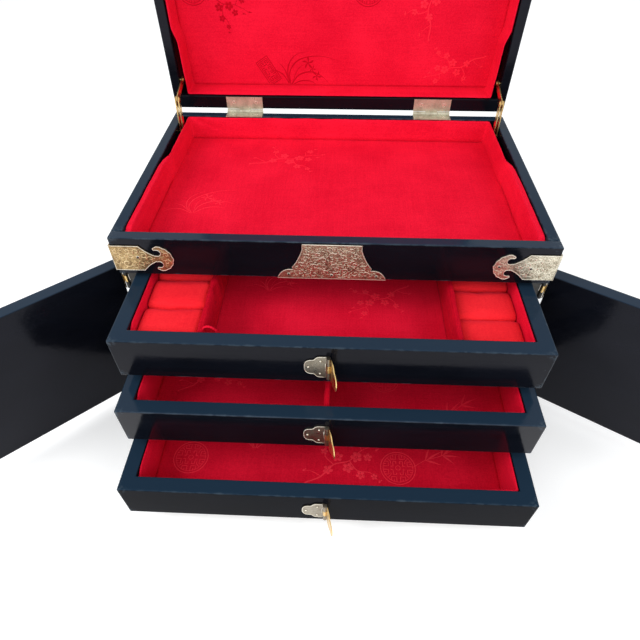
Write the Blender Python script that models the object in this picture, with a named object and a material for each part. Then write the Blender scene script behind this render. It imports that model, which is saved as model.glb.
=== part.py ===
"""Lacquered jewelry chest with a lift-up lid, two front doors and three lined drawers.

Metres, +Z up, +X to the right and +Y to the back. The origin is the centre of the underside.
The chest stands open: lid upright on its stays, doors swung wide, drawers drawn out in steps.
"""
import math

import bmesh
import bpy

for old_object in list(bpy.data.objects):
    bpy.data.objects.remove(old_object, do_unlink=True)

# Clearances shared by every joint and seat
GLUE_GAP = 0.0002
SEAT_GAP = 0.0003
RECESS_GAP = 0.0002
CUT_OVERRUN = 0.002
EDGE_ROUND = 0.0008
SMALL_ROUND = 0.0003

# Case
BODY_WIDTH = 0.360
BODY_DEPTH = 0.231
BOARD = 0.0095
APRON_HEIGHT = 0.037
DUST_BOARD = 0.0085
BOTTOM_BOARD = 0.009
PLINTH_HEIGHT = 0.008
PLINTH_SETBACK = 0.004
FELT = 0.0015
FELT_SETBACK = 0.001
TRAY_FLOOR_BOARD = 0.005

# Tray lining, and the slots beside it that take the lid stays
LINING_DEPTH = 0.023
LINING_FLOOR = 0.002
LINING_WALL = 0.0055
LINING_END_WALL = 0.0025
LINING_DROP = 0.001
LINING_SIDE_GAP = 0.0017
LINING_END_GAP = 0.0006
SLOT_LINING_WALL = 0.0025
STAY_SLOT_WIDTH = 0.0063
STAY_SLOT_START = 0.046
TRAY_SLOT_START = 0.024
SLOT_SLANT = 0.016

# Drawers, counted from the top down
DRAWER_HEIGHT = 0.0415
DRAWER_LENGTH = 0.1985
DRAWER_SIDE_GAP = 0.0015
DRAWER_WALL = 0.0125
DRAWER_BACK_WALL = 0.008
DRAWER_BOTTOM = 0.003
DRAWER_BOTTOM_RISE = 0.0006
DRAWER_LINING_WALL = 0.0028
DRAWER_LINING_FLOOR = 0.0015
DRAWER_LINING_DROP = 0.0015
DRAWER_SETBACK = 0.0045
DRAWER_HEAD_GAP = 0.0012
FIRST_DRAWER_DROP = 0.0045
DRAWER_PULLED_OUT = (0.0900, 0.1187, 0.1591)
DRAWER_COUNT = len(DRAWER_PULLED_OUT)

# Dividers and ring pads
RING_DIVIDER = 0.005
RING_BAY = 0.0495
RING_DIVIDER_DROP = 0.0035
MIDDLE_DIVIDER = 0.005
MIDDLE_DIVIDER_PLACE = -0.0008
MIDDLE_DIVIDER_DROP = 0.0035
RING_PAD_DROPS = {"left": 0.0070, "right": 0.0110}
RING_PAD_CROWN = 0.0035
RING_PAD_CHANNEL = 0.0055
RING_PAD_TUCK = 0.0012
RING_PAD_PINCH = 0.0008
RING_PAD_ROLLS = 5
ROLL_STEPS = 8
PAD_CROSS_STEPS = 8

# Lid, modelled shut and carried upright
LID_GAP = 0.0006
LID_FRAME_HEIGHT = 0.027
LID_SIDE_WALL = 0.0095
LID_BACK_WALL = 0.0135
LID_TOP = 0.007
LID_TOP_ROUND = 0.003
LID_LINING_WALL = 0.0025
LID_OPEN_ANGLE = math.radians(90.0)

# Lid hinges
LID_AXIS_BACK = 0.003
LID_HINGE_INSET = 0.0775
LID_HINGE_WIDTH = 0.0396
LID_HINGE_SHEET = 0.0008
LID_HINGE_BARREL = 0.0022
LID_HINGE_BORE = 0.0012
LID_HINGE_PIN = 0.0009
LID_LEAF = 0.0125
BARREL_END_GAP = 0.0003

# Lid stays: two equal links that fold as a parallelogram with the hinge line
STAY_LINK = 0.0322
STAY_LOWER_ANGLE = math.radians(15.7)
STAY_UPPER_ANGLE = math.radians(6.6)
STAY_WIDTH = 0.0064
STAY_SHEET = 0.001
STAY_WALL_GAP = 0.0009
STAY_PLAY = 0.0006
STAY_PIN = 0.001
STAY_EYE = 0.0013
STAY_OPEN_EYE = 0.0015
STAY_HEAD = 0.0021
STAY_HEAD_HEIGHT = 0.0006
STAY_HEAD_GAP = 0.0002

# Doors
DOOR_THICKNESS = 0.012
DOOR_BACK_GAP = 0.0005
DOOR_EDGE_GAP = 0.0008
DOOR_MEETING_GAP = 0.001
DOOR_OPEN_ANGLES = {"left": math.radians(-137.9), "right": math.radians(148.4)}

# Door hinges, two to a door
DOOR_HINGE_HEIGHT = 0.022
DOOR_HINGE_INSET = 0.004
DOOR_HINGE_BARREL = 0.002
DOOR_HINGE_BORE = 0.0012
DOOR_HINGE_PIN = 0.0009
DOOR_HINGE_STANDOFF = 0.0024
DOOR_HINGE_SHEET = 0.0008
DOOR_SIDE_LEAF = 0.0078
DOOR_LEAF = 0.009
DOOR_LEAF_INSET = 0.0003
DOOR_LEAF_TONGUE = 0.0013

# Plates on the apron
PLATE_SHEET = 0.0008
CORNER_PLATE_HEIGHT = 0.0254
CORNER_PLATE_REACH = 0.051
CORNER_PLATE_DROP = 0.0070
CORNER_PLATE_RETURN = 0.008
CORNER_LOBE_DEPTH = 0.0005
CORNER_HEAD_LOBES = 3.5
LOCK_PLATE_HALF_WIDTH = 0.0453
LOCK_PLATE_HEIGHT = 0.0352
LOCK_PLATE_DROP = 0.0015

# Drawer pulls, made like butterfly hinges
PULL_REACH = 0.0192
PULL_HALF_HEIGHT = 0.0125
PULL_SHEET = 0.0008
PULL_DROP = 0.022
PULL_BARREL = 0.0018
PULL_BORE = 0.001
PULL_PIN = 0.0007
PULL_LAP = 0.0003
PULL_OPEN_ANGLE = math.radians(75.0)

# Facets of round pieces
BARREL_SIDES = 20
PIN_SIDES = 16
END_STEPS = 8
LOBE_STEPS = 21
CURVE_STEPS = 6

# Outlines, as shares of each plate's reach or half width and of its half height or height
CORNER_BODY_SHARE = 0.485
CORNER_SLOPE_SHARES = (0.59, 0.48)
CORNER_NECK_SHARES = (0.716, 0.25)
CORNER_NOTCH_SHARES = (0.755, 0.47)
CORNER_NOTCH_RADIUS_SHARE = 0.227
CORNER_HOOK_SHARES = (0.7266, 0.792)
CORNER_HOOK_RADIUS_SHARE = 0.1136
CORNER_HEAD_START_SHARES = (0.762, 1.0)
CORNER_HEAD_BEND_SHARES = (0.97, 0.88)
CORNER_HEAD_CENTRE_SHARES = (0.80, 0.0)
LOCK_TOP_SHARES = (0.53, 1.0)
LOCK_STRAIGHT_SHARES = (0.53, 0.86)
LOCK_FLANK_SHARES = (0.60, 0.54)
LOCK_CUSP_SHARES = (0.722, 0.338)
LOCK_NOTCH_SHARES = (0.706, 0.272)
LOCK_LOBE_SHARES = (0.92, 0.31)
PULL_SHOULDER_SHARES = (0.354, 1.0)
PULL_SHOULDER_BEND_SHARES = (0.50, 0.98)
PULL_WAIST_SHARES = (0.568, 0.75)
PULL_LOBE_BEND_SHARES = (0.63, 0.65)
PULL_LOBE_SHARES = (0.74, 0.67)
PULL_TIP_BEND_SHARES = (1.0, 0.62)
FRONT_ROLL_SHARE = 0.185
ROLL_FULLNESS_SHARE = 0.8
PAD_FULLNESS_SHARE = 0.45
PAD_BULGE_SHARE = 0.5

# Levels, from the floor up
PLINTH_BASE = FELT + GLUE_GAP
BOTTOM_BASE = PLINTH_BASE + PLINTH_HEIGHT + GLUE_GAP
OPENING_FLOOR = BOTTOM_BASE + BOTTOM_BOARD
DRAWER_PITCH = DRAWER_HEIGHT + SEAT_GAP + DRAWER_HEAD_GAP + DUST_BOARD
DRAWER_BASES = tuple(
    OPENING_FLOOR + SEAT_GAP + (DRAWER_COUNT - 1 - level) * DRAWER_PITCH for level in range(DRAWER_COUNT))
APRON_FOOT = DRAWER_BASES[0] + DRAWER_HEIGHT + FIRST_DRAWER_DROP
RIM = APRON_FOOT + APRON_HEIGHT
LINING_TOP = RIM - LINING_DROP
LINING_BASE = LINING_TOP - LINING_DEPTH - LINING_FLOOR
TRAY_FLOOR_BASE = LINING_BASE - GLUE_GAP - TRAY_FLOOR_BOARD
DOOR_LOW = OPENING_FLOOR + DOOR_EDGE_GAP
DOOR_HIGH = APRON_FOOT - DOOR_EDGE_GAP
DOOR_HINGE_LEVELS = (
    ("lower", DOOR_LOW + DOOR_HINGE_INSET), ("upper", DOOR_HIGH - DOOR_HINGE_INSET - DOOR_HINGE_HEIGHT))

# Planes of the case
HALF_WIDTH = BODY_WIDTH / 2
HALF_DEPTH = BODY_DEPTH / 2
SIDE_INNER = HALF_WIDTH - BOARD
BACK_INNER = HALF_DEPTH - BOARD
SIDE_FRONT = -HALF_DEPTH + DOOR_THICKNESS + DOOR_BACK_GAP
DRAWER_CLOSED_FRONT = SIDE_FRONT + DRAWER_SETBACK
DRAWER_HALF_WIDTH = SIDE_INNER - DRAWER_SIDE_GAP
LID_HINGE_PLACE = HALF_WIDTH - LID_HINGE_INSET

# Axes of the moving pieces
LID_AXIS_Y = HALF_DEPTH + LID_AXIS_BACK
LID_AXIS_Z = RIM + LID_GAP / 2
DOOR_AXIS_X = HALF_WIDTH + DOOR_HINGE_STANDOFF
DOOR_AXIS_Y = SIDE_FRONT - DOOR_BACK_GAP / 2
PULL_STANDOFF = PULL_BARREL + SEAT_GAP
STAY_LOWER_Y = -STAY_LINK * math.cos(STAY_LOWER_ANGLE)
STAY_LOWER_Z = -STAY_LINK * math.sin(STAY_LOWER_ANGLE)
STAY_UPPER_Y = -STAY_LINK * math.cos(STAY_UPPER_ANGLE)
STAY_UPPER_Z = STAY_LINK * math.sin(STAY_UPPER_ANGLE)

FINISHES = {
    "lacquer": ((0.012, 0.014, 0.018), 0.22, 0.0),
    "red_damask": ((0.62, 0.006, 0.020), 0.75, 0.0),
    "engraved_brass": ((0.62, 0.47, 0.28), 0.32, 1.0),
    "plain_brass": ((0.60, 0.46, 0.26), 0.28, 1.0),
    "bare_board": ((0.30, 0.20, 0.12), 0.70, 0.0),
    "felt": ((0.02, 0.02, 0.02), 0.95, 0.0),
}
SIDES = (("left", -1.0), ("right", 1.0))


def principled(name, finish):
    """A material with the colour, roughness and metallic value of one finish."""
    colour, roughness, metallic = FINISHES[finish]
    material = bpy.data.materials.new(name)
    material.use_nodes = True
    shader = material.node_tree.nodes["Principled BSDF"]
    shader.inputs["Base Color"].default_value = (*colour, 1.0)
    shader.inputs["Roughness"].default_value = roughness
    shader.inputs["Metallic"].default_value = metallic
    material.diffuse_color = (*colour, 1.0)
    return material


def carrier(name, place, turn_x=0.0, turn_z=0.0, parent=None):
    """An empty on a joint's axis that carries one moving body."""
    empty = bpy.data.objects.new(name, None)
    bpy.context.scene.collection.objects.link(empty)
    empty.parent = parent
    empty.location = place
    empty.rotation_euler = (turn_x, 0.0, turn_z)
    return empty


def place_mesh(name, mesh_data, finish, parent=None, smooth=False):
    """Turn mesh data into a named object with a material of its own."""
    bmesh.ops.recalc_face_normals(mesh_data, faces=mesh_data.faces)
    mesh = bpy.data.meshes.new(name)
    mesh_data.to_mesh(mesh)
    mesh_data.free()
    if smooth:
        mesh.shade_smooth()
        mesh.set_sharp_from_angle(angle=math.radians(35.0))
    mesh.materials.append(principled(name, finish))
    piece = bpy.data.objects.new(name, mesh)
    bpy.context.scene.collection.objects.link(piece)
    piece.parent = parent
    return piece


def round_edges(piece, width=EDGE_ROUND, segments=2):
    """Ease the sharp edges of a piece."""
    bevel = piece.modifiers.new("eased_edges", "BEVEL")
    bevel.width = width
    bevel.segments = segments
    bevel.limit_method = "ANGLE"
    bevel.angle_limit = math.radians(40.0)
    return piece


def combine(piece, tool, operation):
    """Join a hidden tool to a piece, or cut the piece with it."""
    tool.hide_render = True
    tool.display_type = "WIRE"
    step = piece.modifiers.new(operation.lower(), "BOOLEAN")
    step.operation = operation
    step.solver = "EXACT"
    step.object = tool
    return piece


def add_box(mesh_data, low, high):
    """Add a box between two corners."""
    corners = [
        mesh_data.verts.new((x, y, z))
        for z in (low[2], high[2]) for y in (low[1], high[1]) for x in (low[0], high[0])]
    for face in ((0, 1, 3, 2), (4, 5, 7, 6), (0, 1, 5, 4), (2, 3, 7, 6), (0, 2, 6, 4), (1, 3, 7, 5)):
        mesh_data.faces.new([corners[index] for index in face])


def box(name, low, high, finish, parent=None, rounded=EDGE_ROUND):
    """A board with eased edges between two corners."""
    mesh_data = bmesh.new()
    add_box(mesh_data, low, high)
    piece = place_mesh(name, mesh_data, finish, parent)
    if rounded:
        round_edges(piece, rounded)
    return piece


def on_axis(axis, first, second, along):
    """A point from its two outline values and its value along an axis."""
    if axis == "x":
        return (along, first, second)
    if axis == "y":
        return (first, along, second)
    return (first, second, along)


def add_ring(mesh_data, outline, axis, along):
    """Add the corners of an outline at one place along an axis."""
    return [mesh_data.verts.new(on_axis(axis, first, second, along)) for first, second in outline]


def add_strip(mesh_data, first, second):
    """Add the faces between two rings of equal count."""
    for index in range(len(first)):
        after = (index + 1) % len(first)
        mesh_data.faces.new((first[index], first[after], second[after], second[index]))


def add_prism(mesh_data, outline, axis, low, high):
    """Add an outline extruded along an axis."""
    rings = [add_ring(mesh_data, outline, axis, along) for along in (low, high)]
    for ring in rings:
        mesh_data.faces.new(ring)
    add_strip(mesh_data, *rings)


def prism(name, outline, axis, low, high, finish, parent=None):
    """A sheet or strap of one outline."""
    mesh_data = bmesh.new()
    add_prism(mesh_data, outline, axis, low, high)
    return place_mesh(name, mesh_data, finish, parent)


def add_hollow(mesh_data, outer, inner, axis, low, high, floor=None):
    """Add a wall between two outlines of equal count: a ring, or a tray when it has a floor."""
    outer_low = add_ring(mesh_data, outer, axis, low)
    outer_high = add_ring(mesh_data, outer, axis, high)
    inner_high = add_ring(mesh_data, inner, axis, high)
    inner_low = add_ring(mesh_data, inner, axis, low if floor is None else floor)
    add_strip(mesh_data, outer_low, outer_high)
    add_strip(mesh_data, outer_high, inner_high)
    add_strip(mesh_data, inner_high, inner_low)
    if floor is None:
        add_strip(mesh_data, inner_low, outer_low)
    else:
        mesh_data.faces.new(outer_low)
        mesh_data.faces.new(inner_low)


def circle(centre, radius, sides):
    """Points of a round outline."""
    return [
        (centre[0] + radius * math.cos(math.tau * index / sides),
         centre[1] + radius * math.sin(math.tau * index / sides)) for index in range(sides)]


def turned(name, axis, centre, profile, parent=None, sides=PIN_SIDES):
    """A turned solid from its radii and their places along an axis."""
    mesh_data = bmesh.new()
    rings = [
        add_ring(mesh_data, circle(centre, radius, sides), axis, along) for radius, along in profile]
    for first, second in zip(rings, rings[1:]):
        add_strip(mesh_data, first, second)
    mesh_data.faces.new(rings[0])
    mesh_data.faces.new(rings[-1])
    return place_mesh(name, mesh_data, "plain_brass", parent, smooth=True)


def rectangle(left, front, right, back):
    """Points of a rectangular outline."""
    return [(left, front), (right, front), (right, back), (left, back)]


def arc(centre, radius, start, end, steps):
    """Points of an arc from one angle to another, both included."""
    return [
        (centre[0] + radius * math.cos(start + (end - start) * index / steps),
         centre[1] + radius * math.sin(start + (end - start) * index / steps))
        for index in range(steps + 1)]


def bend(start, middle, end, steps=CURVE_STEPS):
    """Points of a curve that leaves its start, and meets its end, towards one middle point."""
    points = []
    for index in range(steps + 1):
        share = index / steps
        weights = ((1 - share) ** 2, 2 * share * (1 - share), share ** 2)
        points.append(tuple(
            sum(weight * point[value] for weight, point in zip(weights, (start, middle, end)))
            for value in (0, 1)))
    return points


def without_repeats(points, least=1e-6):
    """The same outline with no two neighbours in one place."""
    kept = []
    for point in points:
        if not kept or math.dist(point, kept[-1]) > least:
            kept.append(point)
    if math.dist(kept[0], kept[-1]) <= least:
        kept.pop()
    return kept


def scaled(shares, reach, height):
    """An outline point from its shares of a reach and of a height."""
    return (shares[0] * reach, shares[1] * height)


def mirrored(half):
    """A full outline from its upper half, mirrored in the middle line."""
    return without_repeats(half + [(first, -second) for first, second in reversed(half)])


# Hinges have three barrels: the outer pair carries the pin, the middle one turns on it
def barrel_spans(length):
    """Start and end of each barrel along a pin, with a gap between neighbours."""
    third = length / 3
    gap = BARREL_END_GAP / 2
    return ((0.0, third - gap), (third + gap, 2 * third - gap), (2 * third + gap, length))


def leaf_edge(length, fixed, reach, clear):
    """The edge of a leaf along its pin: it reaches its own barrels and stays clear of the others."""
    first, middle, last = barrel_spans(length)
    points = [(0.0, clear)]
    for low, high in (first, last) if fixed else (middle,):
        points += [(low, clear), (low, reach), (high, reach), (high, clear)]
    points.append((length, clear))
    return without_repeats(points)


def join_barrels(leaf, axis, centre, start, length, fixed, sizes, parent=None):
    """Give a leaf its outer barrels with the pin between them, or its hollow middle barrel."""
    outer, bore, pin = sizes
    first, middle, last = barrel_spans(length)
    if fixed:
        profile = (
            (outer, start), (outer, start + first[1]), (pin, start + first[1]), (pin, start + last[0]),
            (outer, start + last[0]), (outer, start + length))
        tool = turned(leaf.name + "_barrels", axis, centre, profile, parent, BARREL_SIDES)
    else:
        mesh_data = bmesh.new()
        add_hollow(mesh_data, circle(centre, outer, BARREL_SIDES), circle(centre, bore, BARREL_SIDES), axis,
                   start + middle[0], start + middle[1])
        tool = place_mesh(leaf.name + "_barrel", mesh_data, "plain_brass", parent)
    return combine(leaf, tool, "UNION")


LID_HINGE_SIZES = (LID_HINGE_BARREL, LID_HINGE_BORE, LID_HINGE_PIN)
DOOR_HINGE_SIZES = (DOOR_HINGE_BARREL, DOOR_HINGE_BORE, DOOR_HINGE_PIN)
PULL_SIZES = (PULL_BARREL, PULL_BORE, PULL_PIN)


# Case: boards glued at butt joints under one lacquer
def make_case():
    """The fixed boards, with the felt underneath."""
    inner_side = SIDE_INNER - GLUE_GAP
    inner_back = BACK_INNER - GLUE_GAP
    plinth_side = HALF_WIDTH - PLINTH_SETBACK
    plinth_end = HALF_DEPTH - PLINTH_SETBACK
    felt_side = plinth_side - FELT_SETBACK
    felt_end = plinth_end - FELT_SETBACK
    box("base_felt", (-felt_side, -felt_end, 0.0), (felt_side, felt_end, FELT), "felt", rounded=None)
    box("plinth", (-plinth_side, -plinth_end, PLINTH_BASE),
        (plinth_side, plinth_end, PLINTH_BASE + PLINTH_HEIGHT), "lacquer")
    box("bottom_board", (-HALF_WIDTH, -HALF_DEPTH, BOTTOM_BASE), (HALF_WIDTH, HALF_DEPTH, OPENING_FLOOR),
        "lacquer")
    box("front_apron", (-HALF_WIDTH, -HALF_DEPTH, APRON_FOOT), (HALF_WIDTH, -BACK_INNER, RIM), "lacquer")
    back = box("back_panel", (-HALF_WIDTH, BACK_INNER, OPENING_FLOOR + GLUE_GAP), (HALF_WIDTH, HALF_DEPTH, RIM),
               "lacquer")
    half = LID_HINGE_WIDTH / 2 + RECESS_GAP
    cut = bmesh.new()
    for side, sign in SIDES:
        place = sign * LID_HINGE_PLACE
        add_box(cut, (place - half, BACK_INNER - CUT_OVERRUN, RIM - LID_HINGE_SHEET - RECESS_GAP),
                (place + half, HALF_DEPTH + CUT_OVERRUN, RIM + CUT_OVERRUN))
    combine(back, place_mesh("rim_recesses", cut, "lacquer"), "DIFFERENCE")
    for side, sign in SIDES:
        make_side_panel(side, sign, inner_back)
    box("compartment_floor", (-inner_side, -inner_back, TRAY_FLOOR_BASE),
        (inner_side, inner_back, TRAY_FLOOR_BASE + TRAY_FLOOR_BOARD), "bare_board", rounded=SMALL_ROUND)
    for number, base in enumerate(DRAWER_BASES[:-1], start=1):
        top = base - SEAT_GAP
        box(f"dust_board_{number}", (-inner_side, SIDE_FRONT, top - DUST_BOARD), (inner_side, inner_back, top),
            "lacquer", rounded=SMALL_ROUND)


def make_side_panel(side, sign, inner_back):
    """One full-height side, stepped back below the apron where the door lies."""
    foot = OPENING_FLOOR + GLUE_GAP
    outline = [
        (SIDE_FRONT, foot), (inner_back, foot), (inner_back, RIM), (-inner_back, RIM),
        (-inner_back, APRON_FOOT), (SIDE_FRONT, APRON_FOOT)]
    low, high = sorted((sign * SIDE_INNER, sign * HALF_WIDTH))
    panel = round_edges(prism(side + "_side_panel", outline, "x", low, high, "lacquer"))
    cut = bmesh.new()
    near, far = sorted((sign * (HALF_WIDTH - DOOR_SIDE_LEAF - RECESS_GAP), sign * (HALF_WIDTH + CUT_OVERRUN)))
    for place, level in DOOR_HINGE_LEVELS:
        add_box(cut, (near, SIDE_FRONT - CUT_OVERRUN, level - RECESS_GAP),
                (far, SIDE_FRONT + DOOR_HINGE_SHEET + RECESS_GAP, level + DOOR_HINGE_HEIGHT + RECESS_GAP))
    combine(panel, place_mesh(side + "_side_recesses", cut, "lacquer"), "DIFFERENCE")


def lining_outline(inset, slot_inset, slot_start, front, back):
    """Plan of a lining: full width in front, drawn in beside the stays at the back."""
    side = SIDE_INNER - LINING_SIDE_GAP - inset
    slot_side = SIDE_INNER - STAY_SLOT_WIDTH - slot_inset
    half = [(side, front), (side, slot_start - SLOT_SLANT), (slot_side, slot_start), (slot_side, back)]
    return half + [(-across, along) for across, along in reversed(half)]


def lining(name, walls, slot_start, front, back, shift, low, high, floor, parent=None):
    """A damask-covered insert between two levels, open at the high one."""
    side_wall, slot_wall, end_wall = walls
    outer = lining_outline(0.0, 0.0, slot_start, front, back)
    inner = lining_outline(side_wall, slot_wall, slot_start, front + end_wall, back - end_wall)
    mesh_data = bmesh.new()
    add_hollow(mesh_data, [(x, y + shift) for x, y in outer], [(x, y + shift) for x, y in inner], "z",
               low, high, floor)
    return round_edges(place_mesh(name, mesh_data, "red_damask", parent))


# Plates nailed to the apron
def scalloped(curve, centre):
    """The same curve with small lobes that stand out from a centre."""
    points = []
    for index, point in enumerate(curve):
        lobe = CORNER_LOBE_DEPTH * abs(math.sin(math.pi * CORNER_HEAD_LOBES * index / (len(curve) - 1)))
        stretch = 1 + lobe / math.dist(point, centre)
        points.append(tuple(middle + (value - middle) * stretch for value, middle in zip(point, centre)))
    return points


def corner_plate_half():
    """The upper half of a corner plate's outline, from the case corner to the tip of its head."""
    reach = CORNER_PLATE_REACH
    height = CORNER_PLATE_HEIGHT / 2
    shoulder = (CORNER_BODY_SHARE * reach, height)
    points = [(0.0, height)]
    points += bend(shoulder, scaled(CORNER_SLOPE_SHARES, reach, height), scaled(CORNER_NECK_SHARES, reach, height))
    points += arc(scaled(CORNER_NOTCH_SHARES, reach, height), CORNER_NOTCH_RADIUS_SHARE * height,
                  math.radians(-120.0), math.radians(100.0), END_STEPS)
    points += arc(scaled(CORNER_HOOK_SHARES, reach, height), CORNER_HOOK_RADIUS_SHARE * height,
                  math.radians(-50.0), math.radians(-260.0), CURVE_STEPS)
    head = bend(scaled(CORNER_HEAD_START_SHARES, reach, height), scaled(CORNER_HEAD_BEND_SHARES, reach, height),
                (reach, 0.0), LOBE_STEPS)
    return points + scalloped(head, scaled(CORNER_HEAD_CENTRE_SHARES, reach, height))


def lock_plate_half():
    """The right half of the lock plate: straight top, concave flank, notch and bottom lobe."""
    width = LOCK_PLATE_HALF_WIDTH
    height = LOCK_PLATE_HEIGHT
    points = [scaled(LOCK_TOP_SHARES, width, height)]
    points += bend(scaled(LOCK_STRAIGHT_SHARES, width, height), scaled(LOCK_FLANK_SHARES, width, height),
                   scaled(LOCK_CUSP_SHARES, width, height))
    points += bend(scaled(LOCK_NOTCH_SHARES, width, height), scaled(LOCK_LOBE_SHARES, width, height), (width, 0.0),
                   END_STEPS)
    return points


def make_plates():
    """Two corner plates with hooked heads and the lock plate between them."""
    face = -HALF_DEPTH - GLUE_GAP
    middle = RIM - CORNER_PLATE_DROP - CORNER_PLATE_HEIGHT / 2
    outline = mirrored(corner_plate_half())
    wrap = HALF_WIDTH + GLUE_GAP + PLATE_SHEET
    for side, sign in SIDES:
        points = [(sign * (wrap - along), middle + up) for along, up in outline]
        plate = prism(side + "_corner_plate", points, "y", face - PLATE_SHEET, face, "engraved_brass")
        returned = bmesh.new()
        low, high = sorted((sign * wrap, sign * (wrap - PLATE_SHEET)))
        add_box(returned, (low, face - PLATE_SHEET, middle - CORNER_PLATE_HEIGHT / 2),
                (high, face + CORNER_PLATE_RETURN, middle + CORNER_PLATE_HEIGHT / 2))
        combine(plate, place_mesh(side + "_plate_return", returned, "engraved_brass"), "UNION")
    foot = RIM - LOCK_PLATE_DROP - LOCK_PLATE_HEIGHT
    half = lock_plate_half()
    whole = without_repeats(half + [(-across, up) for across, up in reversed(half)])
    prism("lock_plate", [(across, foot + up) for across, up in whole], "y", face - PLATE_SHEET, face,
          "engraved_brass")


# Lid: frame, top board and lining
def make_lid():
    """Everything that turns with the lid, in the shut lid's place about its hinge line."""
    lid = carrier("lid_axis", (0.0, LID_AXIS_Y, LID_AXIS_Z), turn_x=-LID_OPEN_ANGLE)
    back = -LID_AXIS_BACK
    front = back - BODY_DEPTH
    low = LID_GAP / 2
    high = low + LID_FRAME_HEIGHT
    inner_side = HALF_WIDTH - LID_SIDE_WALL
    mesh_data = bmesh.new()
    add_hollow(mesh_data, rectangle(-HALF_WIDTH, front, HALF_WIDTH, back),
               rectangle(-inner_side, front + LID_SIDE_WALL, inner_side, back - LID_BACK_WALL), "z", low, high)
    frame = round_edges(place_mesh("lid_frame", mesh_data, "lacquer", lid))
    half = LID_HINGE_WIDTH / 2 + RECESS_GAP
    cut = bmesh.new()
    for side, sign in SIDES:
        place = sign * LID_HINGE_PLACE
        add_box(cut, (place - half, back - LID_LEAF - RECESS_GAP, low - CUT_OVERRUN),
                (place + half, back + CUT_OVERRUN, low + LID_HINGE_SHEET + RECESS_GAP))
    combine(frame, place_mesh("lid_recesses", cut, "lacquer", lid), "DIFFERENCE")
    top = high + GLUE_GAP
    box("lid_top_panel", (-HALF_WIDTH, front, top), (HALF_WIDTH, back, top + LID_TOP), "lacquer", lid,
        LID_TOP_ROUND)
    lining_back = HALF_DEPTH - LID_BACK_WALL - LINING_END_GAP
    lining_high = high - GLUE_GAP
    lining("lid_lining", (LID_LINING_WALL, LID_LINING_WALL, LID_LINING_WALL), STAY_SLOT_START,
           -BACK_INNER + LINING_END_GAP, lining_back, -LID_AXIS_Y, lining_high, low + LINING_DROP,
           lining_high - LINING_FLOOR, lid)
    return lid


def make_lid_hinges(lid):
    """Two butt hinges, each with a leaf let into the rim and a leaf let into the lid."""
    reach = (LID_HINGE_BARREL + LID_HINGE_BORE) / 2
    clear = LID_HINGE_BARREL + SEAT_GAP
    low = LID_GAP / 2
    length = LID_HINGE_WIDTH
    for side, sign in SIDES:
        start = sign * LID_HINGE_PLACE - length / 2
        for owner, fixed, far, origin, sheet_low, parent in (
                ("body", True, BACK_INNER + SEAT_GAP - LID_AXIS_Y, (LID_AXIS_Y, LID_AXIS_Z),
                 -low - LID_HINGE_SHEET, None),
                ("lid", False, -LID_AXIS_BACK - LID_LEAF, (0.0, 0.0), low, lid)):
            outline = [(0.0, far)] + leaf_edge(length, fixed, -reach, -clear) + [(length, far)]
            sheet_low += origin[1]
            leaf = prism(f"{side}_lid_hinge_{owner}_leaf",
                         [(start + along, origin[0] + across) for along, across in outline], "z",
                         sheet_low, sheet_low + LID_HINGE_SHEET, "plain_brass", parent)
            join_barrels(leaf, "x", origin, start, length, fixed, LID_HINGE_SIZES, parent)


# Lid stays
def link_outline(end_y, end_z):
    """A strap with round ends, from a pivot at zero to a second pivot."""
    heading = math.atan2(end_z, end_y)
    quarter = math.pi / 2
    half = STAY_WIDTH / 2
    return (
        arc((end_y, end_z), half, heading - quarter, heading + quarter, END_STEPS)
        + arc((0.0, 0.0), half, heading + quarter, heading + 3 * quarter, END_STEPS))


def eye(name, centre, radius, parent):
    """A cutter through every layer of a stay at one pivot."""
    return turned(name, "x", centre, ((radius, -HALF_WIDTH), (radius, HALF_WIDTH)), parent)


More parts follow.
